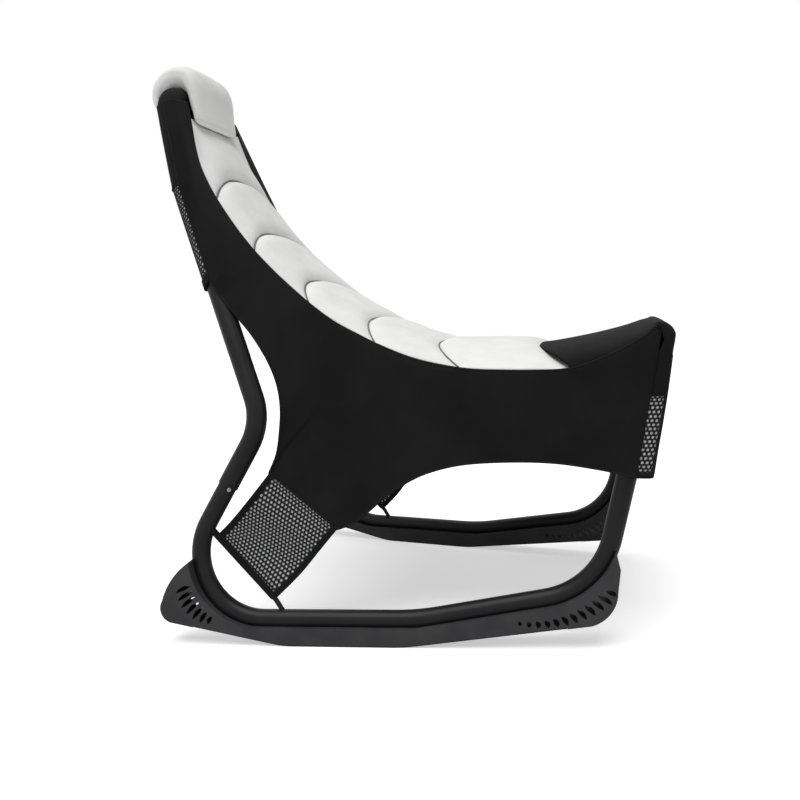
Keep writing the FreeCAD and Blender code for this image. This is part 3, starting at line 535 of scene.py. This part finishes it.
for side, turn in rowTurns:
    whole = turn(tailGrid(0, 1, 0, 1, 14, 16))
    inner, outer = tail["hem"], 1 - tail["hem"]
    cloth = gridPiece("tail_lining_" + side, whole, lining, 0.0)
    netRows = turn(tailGrid(inner, outer, 0, tail["netEnd"], 20, 22))
    width = (netRows[8][-1] - netRows[8][0]).length
    height = lengthOf([row[10] for row in netRows])
    netPiece("tail_net_" + side, surfaceFrom(netRows), width, height, tail["netThickness"])
    for label, low, high in (("rear", 0, inner + tail["hemLap"]), ("front", outer - tail["hemLap"], 1)):
        band = turn(tailGrid(low, high, 0, 1, 6, 16))
        band = gridPiece("tail_hem_%s_%s" % (label, side), band, knit, tail["hemThickness"])
        dress(band)
    a, b = turn([[spot(*point) for point in tail["rod"]]])[0]
    rodLine = [a.lerp(b, step / tail["rodSteps"]) for step in range(tail["rodSteps"] + 1)]
    dress(cordPiece("rod_pocket_" + side, rodLine, tail["rodRadius"], knit))
    dress(cloth, "tail_mesh_" + side)
print("tail meshes laid")

# sleeve round the back tubes: black panel above, net below

backCover = {
    "panel": [-371, -367, -363, -358, -350, -338, -324], "net": [-324, -310, -292, -272, -250, -229],
    "hem": [-232, -228, -224], "wrap": 9, "turnEnd": 96, "flat": 16, "bow": 5.0,
    "panelSteps": 24, "netSteps": 40, "hemSteps": 6, "evenColumns": 90, "seamKnots": 60,
    "panelThickness": 0.0022, "liningThickness": 0.0008, "hemThickness": 0.003, "liningIn": 0.9, "hemOut": 0.8,
    "seamOut": 1.0, "seamRadius": 0.0013, "sideSeamRadius": 0.0014,
}


def backRow(forward, radius):
    crestPoint, axis, rear, ring, angle = backSection(forward, radius)
    start = seamAngle(angle)
    half = []
    for step in range(backCover["wrap"]):
        turn = start + (math.radians(backCover["turnEnd"]) - start) * step / (backCover["wrap"] - 1)
        half.append(aroundTube(axis, rear, ring, turn))
    last = half[-1]
    middle = []
    for step in range(1, backCover["flat"]):
        share = step / backCover["flat"]
        hollow = -backCover["bow"] * math.sin(math.pi * share) * 0.001
        middle.append(last.lerp(flip(last), share) + rear * hollow)
    return half + middle + [flip(point) for point in reversed(half)]


def backRows(forwards, outward, steps):
    return smoothRows([backRow(forward, shared["sleeveRadius"] + outward) for forward in forwards], steps)


def evenRows(rows, count):  # each row cut into equal lengths
    return [evenly(row, count) for row in rows]


panelRows = backRows(backCover["panel"], 0, backCover["panelSteps"])
backPanel = gridPiece("back_panel_cloth", panelRows, knit, backCover["panelThickness"])
dress(backPanel, "back_panel")
netBase = backRows(backCover["net"], 0, backCover["netSteps"])
liningRows = backRows(backCover["net"], -backCover["liningIn"], backCover["netSteps"])
backLining = gridPiece("back_net_lining", liningRows, lining, backCover["liningThickness"])
dress(backLining, "back_mesh")
backHeight = lengthOf([row[shared["netColumn"]] for row in netBase])
netPiece("back_net", surfaceFrom(evenRows(netBase, backCover["evenColumns"])),
         lengthOf(netBase[len(netBase) // 2]), backHeight, net["thickness"])
hemRows = backRows(backCover["hem"], backCover["hemOut"], backCover["hemSteps"])
dress(gridPiece("back_hem", hemRows, knit, backCover["hemThickness"]))
seamRow = backRow(backCover["net"][0], shared["sleeveRadius"] + backCover["seamOut"])
dress(cordPiece("back_seam", seamRow, backCover["seamRadius"], hem))
edgeRows = backCover["panel"] + backCover["net"][1:]
sideSeam = [backRow(forward, shared["sleeveRadius"] + backCover["seamOut"])[0] for forward in edgeRows]
for side, turn in pointTurns:
    line = evenly([turn(point) for point in sideSeam], backCover["seamKnots"])
    dress(cordPiece("back_side_seam_" + side, line, backCover["sideSeamRadius"], hem))
print("back sleeve laid")

# sleeve over the top of the back frame

topSleeve = {"foot": 886.0, "cornerRadius": 55.0, "radius": 19.5, "sides": 24, "thickness": 0.002,
             "legSteps": 3, "bendSteps": 12, "barSteps": 14}


def topSleeveRows():
    low, corner = backLine[-2], backLine[-1]
    rise = (corner - low).normalized()
    start = low + rise * ((topSleeve["foot"] * 0.001 - low.z) / rise.z)
    back, ahead = -rise, Vector((1, 0, 0))
    half = back.angle(ahead) / 2
    radius = topSleeve["cornerRadius"] * 0.001
    first, last = corner + back * radius / math.tan(half), corner + ahead * radius / math.tan(half)
    centre = corner + (back + ahead).normalized() * radius / math.sin(half)
    legSteps, bendSteps, barSteps = topSleeve["legSteps"], topSleeve["bendSteps"], topSleeve["barSteps"]
    leg = [start.lerp(first, step / legSteps) for step in range(legSteps + 1)]
    for step in range(1, bendSteps):
        arm = (first - centre).lerp(last - centre, step / bendSteps).normalized()
        leg.append(centre + arm * radius)
    bar = [last.lerp(flip(last), step / barSteps) for step in range(barSteps + 1)]
    line = leg + bar + [flip(point) for point in reversed(leg)]
    rows = []
    for index, point in enumerate(line):
        before, after = line[max(index - 1, 0)], line[min(index + 1, len(line) - 1)]
        heading = (after - before).normalized()
        side = heading.cross(Vector((0, 1, 0))).normalized()
        up = side.cross(heading)
        ring = []
        for step in range(topSleeve["sides"]):
            angle = math.tau * step / topSleeve["sides"]
            ring.append(point + (side * math.cos(angle) + up * math.sin(angle)) * topSleeve["radius"] * 0.001)
        rows.append(ring)
    return rows


topRows = topSleeveRows()
topCloth = gridPiece("top_sleeve_cloth", topRows, knit, topSleeve["thickness"], wrap=True)
dress(topCloth, "top_sleeve")
print("top sleeve laid")

# front cover over the crossbar, and the net below it

frontCover = {
    "top": [  # middle forward and height, side forward, half width and height
        (240, 451.5, 307, 208, 421.5), (262, 453.5, 322, 208.6, 424), (300, 459, 345, 210, 432),
        (345, 467, 380, 214.5, 446), (385, 476, 412, 223, 464), (411, 483.5, 430, 229.5, 479)],
    "risePower": 2.2, "bowPower": 0.9,
    "roll": [(100, 1.0), (80, 0.8), (60, 0.5), (40, 0.2), (20, 0.0), (0, 0.0)],  # degrees round the bar, crown
    "rollTurn": 100, "flap": ((441, 460), (437, 482)), "endHalf": 233.3, "turnHalf": 225.0, "turnDepth": 8.0,
    "apron": [(452, 440), (448, 410), (444, 382.5)],
    "net": [(444, 382), (438, 345), (431, 305), (425, 268)],
    "hem": [(425.5, 270), (424, 262)], "seam": (444.8, 382.2),
    "bar": (436, 466, 20.0), "leg": ((347, 223, 88), (436, 212, 466)), "legCorner": 17.6, "legSide": 0.21,
    "flapBack": 3.0, "flapLeast": 15, "flapOut": (1.0, 1.2), "flapLean": 2,
    "across": 12, "cornerTurns": (15, 40, 65, 85), "corner": 9, "cornerIn": 8, "flatIn": 8.5,
    "coverSteps": 60, "netSteps": 30, "evenColumns": 120, "cordKnots": 40, "cordRadius": 0.0026, "seamRadius": 0.0015,
    "thickness": 0.0024, "liningThickness": 0.0008, "hemThickness": 0.0034, "liningIn": 0.0011,
}


def legAt(height):  # middle of the right front leg
    low, high = frontCover["leg"]
    return spot(*low).lerp(spot(*high), (height - low[2]) / (high[2] - low[2]))


def halfProfile(forward, height):  # from the side flap round the leg to the middle
    leg = legAt(height)
    half = -leg.x * 1000 + frontCover["legCorner"]
    corner, cornerIn, across = frontCover["corner"], frontCover["cornerIn"], frontCover["across"]
    flap = min(forwardOf(leg) + frontCover["flapBack"], forward - frontCover["flapLeast"])
    points = [spot(flap, half + frontCover["flapOut"][0], height),
              spot((flap + forward) / 2 - frontCover["flapLean"], half + frontCover["flapOut"][1], height)]
    for angle in frontCover["cornerTurns"]:
        turn = math.radians(angle)
        points.append(spot(forward - corner + corner * math.sin(turn),
                           half - cornerIn + corner * math.cos(turn), height))
    for step in range(1, across + 1):
        points.append(spot(forward, (half - frontCover["flatIn"]) * (1 - step / across), height))
    return points


def wholeRow(half):  # a row from flap to middle, and its mirror image
    return half + [flip(point) for point in reversed(half[:-1])]


def frontRows(stations):
    return [wholeRow(halfProfile(forward, height)) for forward, height in stations]


def rollRow(angle, crown):  # side flap, rounded end, then straight across the bar
    barForward, barHeight, radius = frontCover["bar"]
    turn = math.radians(angle)
    start = [low + (high - low) * angle / frontCover["rollTurn"] for low, high in zip(*frontCover["flap"])]
    end, turnHalf, depth = frontCover["endHalf"], frontCover["turnHalf"], frontCover["turnDepth"]
    inner = (barForward + (radius - depth) * math.cos(turn), barHeight + (radius - depth) * math.sin(turn))
    points = [spot(start[0], end, start[1]), spot((start[0] + inner[0]) / 2, end, (start[1] + inner[1]) / 2)]
    for cornerTurn in frontCover["cornerTurns"]:
        lean = math.radians(cornerTurn)
        reach = radius - depth + depth * math.sin(lean)
        half = turnHalf + (end - turnHalf) * math.cos(lean)
        points.append(spot(barForward + reach * math.cos(turn), half, barHeight + reach * math.sin(turn)))
    for step in range(1, frontCover["across"] + 1):
        share = step / frontCover["across"]
        points.append(spot(barForward + radius * math.cos(turn), turnHalf * (1 - share),
                           barHeight + radius * math.sin(turn) + crown * share))
    return points


def coverTop():  # from the pad's edge forward and down over the bar
    rows = []
    count = len(halfProfile(*frontCover["apron"][0]))
    for midForward, midHeight, forward, half, height in frontCover["top"]:
        row = []
        for step in range(count):
            share = 1 - step / (count - 1)
            across = math.sin(share * math.pi / 2)
            ahead = (1 - across ** 2) ** frontCover["bowPower"]
            rise = 1 - share ** frontCover["risePower"]
            row.append(spot(forward + (midForward - forward) * ahead, half * across,
                            height + (midHeight - height) * rise))
        rows.append(row)
    rows += [rollRow(angle, crown) for angle, crown in frontCover["roll"]]
    return [wholeRow(row) for row in rows]


coverRows = smoothRows(coverTop() + frontRows(frontCover["apron"]), frontCover["coverSteps"])
frontCloth = gridPiece("front_cover", coverRows, knit, frontCover["thickness"])
dress(frontCloth, "front_panel")
frontNetRows = smoothRows(frontRows(frontCover["net"]), frontCover["netSteps"])
frontHeight = lengthOf([row[shared["netColumn"]] for row in frontNetRows])
netPiece("front_net", surfaceFrom(evenRows(frontNetRows, frontCover["evenColumns"])),
         lengthOf(frontNetRows[len(frontNetRows) // 2]), frontHeight, net["thickness"])


def pushedIn(rows, depth):  # back under the front, and towards the middle on the legs
    result = []
    for row in rows:
        line = []
        for point in row:
            aside = -math.copysign(1.0, point.x) if abs(point.x) > frontCover["legSide"] else 0.0
            line.append(point + Vector((aside, 1.0, 0)).normalized() * depth)
        result.append(line)
    return result


liningRows = pushedIn(frontNetRows, frontCover["liningIn"])
frontLining = gridPiece("front_net_lining", liningRows, lining, frontCover["liningThickness"])
dress(frontLining, "front_mesh")
cornerEdge = [row[4] for row in frontRows(frontCover["apron"][:2] + frontCover["net"])]
for side, turn in pointTurns:
    edge = evenly([turn(point) for point in cornerEdge], frontCover["cordKnots"])
    dress(cordPiece("front_corner_" + side, edge, frontCover["cordRadius"], hem))
frontHem = gridPiece("front_hem", frontRows(frontCover["hem"]), knit, frontCover["hemThickness"])
dress(frontHem)
frontSeam = frontRows([frontCover["seam"]])[0]
dress(cordPiece("front_net_seam", frontSeam, frontCover["seamRadius"], hem))
print("front cover laid")

# seat pad: segments of foam between sewn channels

seatPad = {
    "seams": [(-363, -374, 891), (-304, -322, 776), (-228, -257, 672), (-124, -172, 580), (-4, -55, 506),
              (137, 69, 459), (320, 262, 450)],  # crest forward, then the seam's middle forward and height
    "puff": 14.0, "edgePuff": 4.0, "thick": 20.0, "edgeThick": 9.0, "inset": 1.2,
    "stops": [0.0, 0.025, 0.06, 0.11, 0.19, 0.3, 0.43, 0.57, 0.7, 0.81, 0.89, 0.94, 0.975], "across": 30,
    "crownPower": 2.1, "puffPower": 6, "fadePower": 5, "puffLeast": 0.35,
    "seamDepth": 4.0, "seamWidth": 2.6, "seamLimit": 4, "seamUp": (0, -0.5, 0.85), "seamReach": 0.995,
    # the radius and rise of the dark grey seam cords, which are painted shade in the crevices
    "seamKnots": 60, "shadeCordRadius": 0.0014, "shadeCordRise": 1.5,
    "tuckFrom": 0.9, "tuckDepth": 7.0,  # the front end goes down under the front cover
    "underGap": 1.6, "underThickness": 0.0012,  # black cloth under the foam
    "headFrom": 0.2, "headDepth": 6.0, "headRise": 1.8, "headPower": 1.2,  # thinner under the pillow's foot
    "wrinkle": (28.0, 0.0009, 3.0),  # size, depth and seed
}


def padLine(position):  # position counts seams, 0 at the top
    seams = seatPad["seams"]
    index = min(int(position), len(seams) - 2)
    t = position - index
    crestForward = seams[index][0] + (seams[index + 1][0] - seams[index][0]) * t
    middles = [spot(forward, 0, height) for _, forward, height in seams]
    middle = curveThrough(middles, position / (len(seams) - 1))
    edge, heading = crestAt(crestForward)
    normal = Vector((0, heading.z, -heading.y)).normalized()
    return edge + Vector((seatPad["inset"] * 0.001, 0, 0)), middle, normal


def padPoint(position, across):  # across from -1 to 1
    edge, middle, normal = padLine(position)
    share = 1 - abs(across) ** seatPad["crownPower"]
    point = edge.lerp(middle, share)
    half = -edge.x
    return Vector((half * across, point.y, point.z)), normal


def padLift(position, across):
    segment = min(int(position), len(seatPad["seams"]) - 2)
    t = position - segment
    sink = 0.0
    early = min(1.0, seatPad["headRise"] * t) ** seatPad["headPower"] if segment == 0 else 1.0
    if segment == 0:
        sink = seatPad["headDepth"] * max(0.0, 1 - t / seatPad["headFrom"])
        sink *= 1 - abs(across) ** seatPad["puffPower"]
    if segment == len(seatPad["seams"]) - 2:
        sink = seatPad["tuckDepth"] * max(0.0, t - seatPad["tuckFrom"]) / (1 - seatPad["tuckFrom"])
        t = min(t / seatPad["tuckFrom"], 1.0)
    rise = 1 - abs(2 * t - 1) ** seatPad["puffPower"]
    fade = 1 - abs(across) ** seatPad["fadePower"]
    least = seatPad["puffLeast"]
    lift = seatPad["puff"] * rise * (least + (1 - least) * fade) * fade + seatPad["edgePuff"] * rise * (1 - fade)
    return (lift * early - sink) * 0.001


def padShape():
    stops = [segment + stop for segment in range(len(seatPad["seams"]) - 1) for stop in seatPad["stops"]]
    stops.append(len(seatPad["seams"]) - 1 - 1e-6)
    across = seatPad["across"]
    top, low, under = [], [], []
    for position in stops:
        topRow, lowRow, underRow = [], [], []
        for column in range(across + 1):
            u = math.sin((column / across * 2 - 1) * math.pi / 2)
            point, normal = padPoint(position, u)
            topRow.append(point + normal * padLift(position, u))
            depth = seatPad["edgeThick"] + (seatPad["thick"] - seatPad["edgeThick"]) * (1 - u * u)
            lowRow.append(point - normal * depth * 0.001)
            underRow.append(point - normal * (depth + seatPad["underGap"]) * 0.001)
        top.append(topRow)
        low.append(lowRow)
        under.append(underRow)
    return top, low, under


def closedShell(name, top, low, finish):
    across, lines = len(top[0]), len(top)
    verts = [p for row in top for p in row] + [p for row in low for p in row]
    base = across * lines
    faces = []
    for r in range(lines - 1):
        for c in range(across - 1):
            a = r * across + c
            faces.append((a, a + 1, a + across + 1, a + across))
            faces.append((base + a, base + a + across, base + a + across + 1, base + a + 1))
        left, right = r * across, r * across + across - 1
        faces.append((left, left + across, base + left + across, base + left))
        faces.append((right, base + right, base + right + across, right + across))
    for c in range(across - 1):
        faces.append((c, base + c, base + c + 1, c + 1))
        last = (lines - 1) * across + c
        faces.append((last, last + 1, base + last + 1, base + last))
    return newPiece(name, verts, faces, finish)


def applied(piece):  # modifiers become the mesh
    deps = bpy.context.evaluated_depsgraph_get()
    mesh = bpy.data.meshes.new_from_object(piece.evaluated_get(deps))
    old = piece.data
    piece.modifiers.clear()
    piece.data = mesh
    bpy.data.meshes.remove(old)
    for face in mesh.polygons:
        face.use_smooth = True


def remeshed(piece, voxel):
    modifier = piece.modifiers.new("remesh", "REMESH")
    modifier.mode = "VOXEL"
    modifier.voxel_size = voxel
    modifier.use_smooth_shade = True
    applied(piece)


# cloth settings for a cushion filled with air
fill = {"quality": 3, "mass": 0.25, "shrink": -0.01, "stretch": 12, "bending": 0.4}


def swell(piece, pressure, frames, cap):  # cloth filled with air, held near its start
    start = [vertex.co.copy() for vertex in piece.data.vertices]
    cloth = piece.modifiers.new("cloth", "CLOTH")
    cloth.settings.use_pressure = True
    cloth.settings.uniform_pressure_force = pressure
    cloth.settings.effector_weights.gravity = 0
    cloth.settings.quality = fill["quality"]
    cloth.settings.mass = fill["mass"]
    cloth.settings.shrink_min = fill["shrink"]
    cloth.settings.tension_stiffness = fill["stretch"]
    cloth.settings.compression_stiffness = fill["stretch"]
    cloth.settings.bending_stiffness = fill["bending"]
    cloth.point_cache.frame_start = 1
    cloth.point_cache.frame_end = frames
    scene.frame_start, scene.frame_end = 1, frames
    for step in range(1, frames + 1):
        scene.frame_set(step)
    applied(piece)
    for vertex, old in zip(piece.data.vertices, start):
        move = vertex.co - old
        if move.length > cap:
            vertex.co = old + move.normalized() * cap
    scene.frame_set(1)


def smoothed(piece):
    modifier = piece.modifiers.new("fine", "SUBSURF")
    modifier.levels = 1
    modifier.render_levels = 1
    applied(piece)


def seamPath(index):
    reach, knots = seatPad["seamReach"], seatPad["seamKnots"]
    return [padPoint(index, -reach + 2 * reach * step / knots)[0] for step in range(knots + 1)]


def sinkSeams(piece):
    spots = [point for index in innerSeams for point in seamPath(index)]
    tree = KDTree(len(spots))
    for number, point in enumerate(spots):
        tree.insert(point, number)
    tree.balance()
    width, up = seatPad["seamWidth"] * 0.001, Vector(seatPad["seamUp"])
    for vertex in piece.data.vertices:
        distance = tree.find(vertex.co)[2]
        if distance <= width * seatPad["seamLimit"] and vertex.normal.dot(up) >= 0:
            depth = seatPad["seamDepth"] * 0.001 * math.exp(-(distance / width) ** 2)
            vertex.co -= vertex.normal * depth


def wrinkle(piece, size, depth, seed):
    for vertex in piece.data.vertices:
        place = vertex.co * size + Vector((seed, 0, 0))
        vertex.co += vertex.normal * noise.noise(place) * depth


def creased(piece, seamRows, columns):  # edges along the seam rows stay sharp
    crease = piece.data.attributes.new("crease_edge", "FLOAT", "EDGE")
    for edge in piece.data.edges:
        a, b = (number // columns for number in edge.vertices)
        if a == b and a in seamRows:
            crease.data[edge.index].value = 1.0


innerSeams = range(1, len(seatPad["seams"]) - 1)  # without the two ends of the pad
top, low, under = padShape()
pad = closedShell("seat_cushion", top, low, suede)
creased(pad, [index * len(seatPad["stops"]) for index in innerSeams], len(top[0]))
smoothed(pad)
sinkSeams(pad)
wrinkle(pad, *seatPad["wrinkle"])
dress(pad, "seat_pad")
underside = gridPiece("seat_underside", under, knit, seatPad["underThickness"])
dress(underside)
# dark grey cords laid in the seams: painted shade of the crevices between the puffed segments
for index in innerSeams:
    line = [point + padLine(index)[2] * seatPad["shadeCordRise"] * 0.001 for point in seamPath(index)]
    seamShadeCord = cordPiece("pad_seam_%d" % index, line, seatPad["shadeCordRadius"], finishes["seamShadeGrey"])
    dress(seamShadeCord)
print("seat pad filled")

# head pillow: a soft saddle over the top of the back

pillowSet = {
    "half": 77.0, "voxel": 0.005, "pressure": 4.0, "frames": 20, "cap": 0.002, "bar": (-401, 922),
    # middle line forward of the crossbar and above it, with half the thickness, rear foot to front foot
    "line": [(-26, -22, 5.5), (-34, -12, 9), (-39, 3, 12.5), (-38, 16, 15), (-31, 28, 16.5), (-18, 38.5, 18),
             (0, 42.5, 19), (16, 40, 19), (27, 31, 18.5), (34.5, 16, 16), (37.5, 2, 13), (40, -14, 11),
             (43.5, -31, 9), (46.5, -47, 7.5)],
    "fine": 44, "steps": 22, "capSteps": 6, "capLength": 0.8, "endPower": 6.0, "endLeast": 0.16,
    "frontPull": 8.0, "frontFrom": 10, "frontRun": 35,  # the front goes back towards the pillow's ends
    "footRise": 5.0, "footFrom": 5, "footRun": 40,  # and its foot rises there
    "wrinkle": (26.0, 0.0008, 11.0),
}


def pillowRow(share):
    barForward, barHeight = pillowSet["bar"]
    away = share * share
    track = []
    for ahead, rise, thick in pillowSet["line"]:
        low = min(1.0, max(0.0, -rise - pillowSet["footFrom"]) / pillowSet["footRun"]) * away if ahead > 0 else 0.0
        front = min(1.0, max(0.0, ahead - pillowSet["frontFrom"]) / pillowSet["frontRun"]) * away
        track.append(Vector((ahead - pillowSet["frontPull"] * front, rise + pillowSet["footRise"] * low, thick)))
    full = max(pillowSet["endLeast"], math.sqrt(max(0.0, 1 - abs(share) ** pillowSet["endPower"])))
    fine = [curveThrough(track, step / pillowSet["fine"]) for step in range(pillowSet["fine"] + 1)]
    inner, outer = [], []
    for index, point in enumerate(fine):
        before, after = fine[max(index - 1, 0)], fine[min(index + 1, len(fine) - 1)]
        along = Vector((after.x - before.x, after.y - before.y)).normalized()
        side = Vector((-along.y, along.x)) * point.z * full
        outer.append(Vector((point.x, point.y)) + side)
        inner.append(Vector((point.x, point.y)) - side)
    loop = list(inner)  # down the inside, round the front foot, back up the outside, round the rear foot
    for ends, turned in ((fine[-2:], 1), (fine[1::-1], -1)):
        along = Vector((ends[1].x - ends[0].x, ends[1].y - ends[0].y)).normalized()
        side = Vector((along.y, -along.x)) * ends[1].z * full * turned
        centre = Vector((ends[1].x, ends[1].y))
        for step in range(1, pillowSet["capSteps"]):
            turn = math.pi * step / pillowSet["capSteps"]
            length = ends[1].z * full * math.sin(turn) * pillowSet["capLength"]
            loop.append(centre + side * math.cos(turn) + along * length)
        if turned == 1:
            loop += reversed(outer)
    return [spot(barForward + point.x, pillowSet["half"] * share, barHeight + point.y) for point in loop]


def pillowShape():
    steps = pillowSet["steps"]
    return [pillowRow(math.sin((step / steps * 2 - 1) * math.pi / 2)) for step in range(steps + 1)]


pillowRows = pillowShape()
pillow = gridPiece("pillow_cushion", pillowRows, suede, 0.0, wrap=True)
work = bmesh.new()
work.from_mesh(pillow.data)
bmesh.ops.holes_fill(work, edges=[edge for edge in work.edges if edge.is_boundary])
bmesh.ops.recalc_face_normals(work, faces=work.faces)
work.to_mesh(pillow.data)
work.free()
remeshed(pillow, pillowSet["voxel"])
swell(pillow, pillowSet["pressure"], pillowSet["frames"], pillowSet["cap"])
smoothed(pillow)
wrinkle(pillow, *pillowSet["wrinkle"])
dress(pillow, "head_pillow", body="head_pillow")
print("pillow filled")

# floor, backdrop and lamps

stageSet = {
    "floorSize": 9.0, "floorColour": (0.8, 0.8, 0.8), "floorRough": 0.9, "floorGlow": 0.5,
    "sunPower": 2.35, "sunFrom": (-0.3, 0.03, 1.0), "sunAngle": 50.0, "skyLight": 0.3,
    "fillPower": 3.0, "fillFrom": (-2.2, 1.2, 1.4), "fillAim": (0, 0, 0.4), "fillSize": 2.0,
}


def floorFinish():  # pale floor that keeps the shadow, with a little glow for the camera alone
    finish = finishOf("paleFloor", {"colour": stageSet["floorColour"], "rough": stageSet["floorRough"]})
    tree = finish.node_tree
    plain = tree.nodes["Principled BSDF"].outputs["BSDF"]
    seen = nodeOf(tree, "LightPath", {}, {}).outputs["Is Camera Ray"]
    glow = nodeOf(tree, "Emission", {"Strength": stageSet["floorGlow"]}, {}).outputs["Emission"]
    both = nodeOf(tree, "AddShader", {}, {0: plain, 1: glow}).outputs["Shader"]
    pick = nodeOf(tree, "MixShader", {}, {"Fac": seen, 1: plain, 2: both}).outputs["Shader"]
    tree.links.new(pick, tree.nodes["Material Output"].inputs["Surface"])
    return finish


floorMesh = bpy.data.meshes.new("floor")
reach = stageSet["floorSize"]
floorCorners = [(-reach, -reach, 0), (reach, -reach, 0), (reach, reach, 0), (-reach, reach, 0)]
floorMesh.from_pydata(floorCorners, [], [(0, 1, 2, 3)])
floor = bpy.data.objects.new("floor", floorMesh)
scene.collection.objects.link(floor)
floorMesh.materials.append(floorFinish())


def lampOf(name, kind, power, away):  # away points from the lit thing to the lamp
    data = bpy.data.lights.new(name, kind)
    data.energy = power
    lamp = bpy.data.objects.new(name, data)
    lamp.rotation_euler = away.to_track_quat("Z", "Y").to_euler()
    scene.collection.objects.link(lamp)
    return lamp, data


sunData = lampOf("sun", "SUN", stageSet["sunPower"], Vector(stageSet["sunFrom"]))[1]
sunData.angle = math.radians(stageSet["sunAngle"])
fillFrom = Vector(stageSet["fillFrom"])
fillLamp, fillData = lampOf("fill", "AREA", stageSet["fillPower"], fillFrom - Vector(stageSet["fillAim"]))
fillLamp.location = fillFrom
fillData.shape = "DISK"
fillData.size = stageSet["fillSize"]
world = bpy.data.worlds.new("world")
scene.world = world
world.use_nodes = True
sky = world.node_tree
sky.nodes.clear()
rays = nodeOf(sky, "LightPath", {}, {}).outputs
seen = rays["Is Camera Ray"]
for other in ("Is Glossy Ray", "Is Transmission Ray"):
    either = nodeOf(sky, "Math", {}, {0: seen, 1: rays[other]})
    either.operation = "MAXIMUM"
    seen = either.outputs[0]
white = {"Color": (1, 1, 1, 1)}
dim = nodeOf(sky, "Background", {**white, "Strength": stageSet["skyLight"]}, {}).outputs["Background"]
bright = nodeOf(sky, "Background", {**white, "Strength": 1.0}, {}).outputs["Background"]
mix = nodeOf(sky, "MixShader", {}, {"Fac": seen, 1: dim, 2: bright}).outputs["Shader"]
nodeOf(sky, "OutputWorld", {}, {"Surface": mix})
print("stage lit")
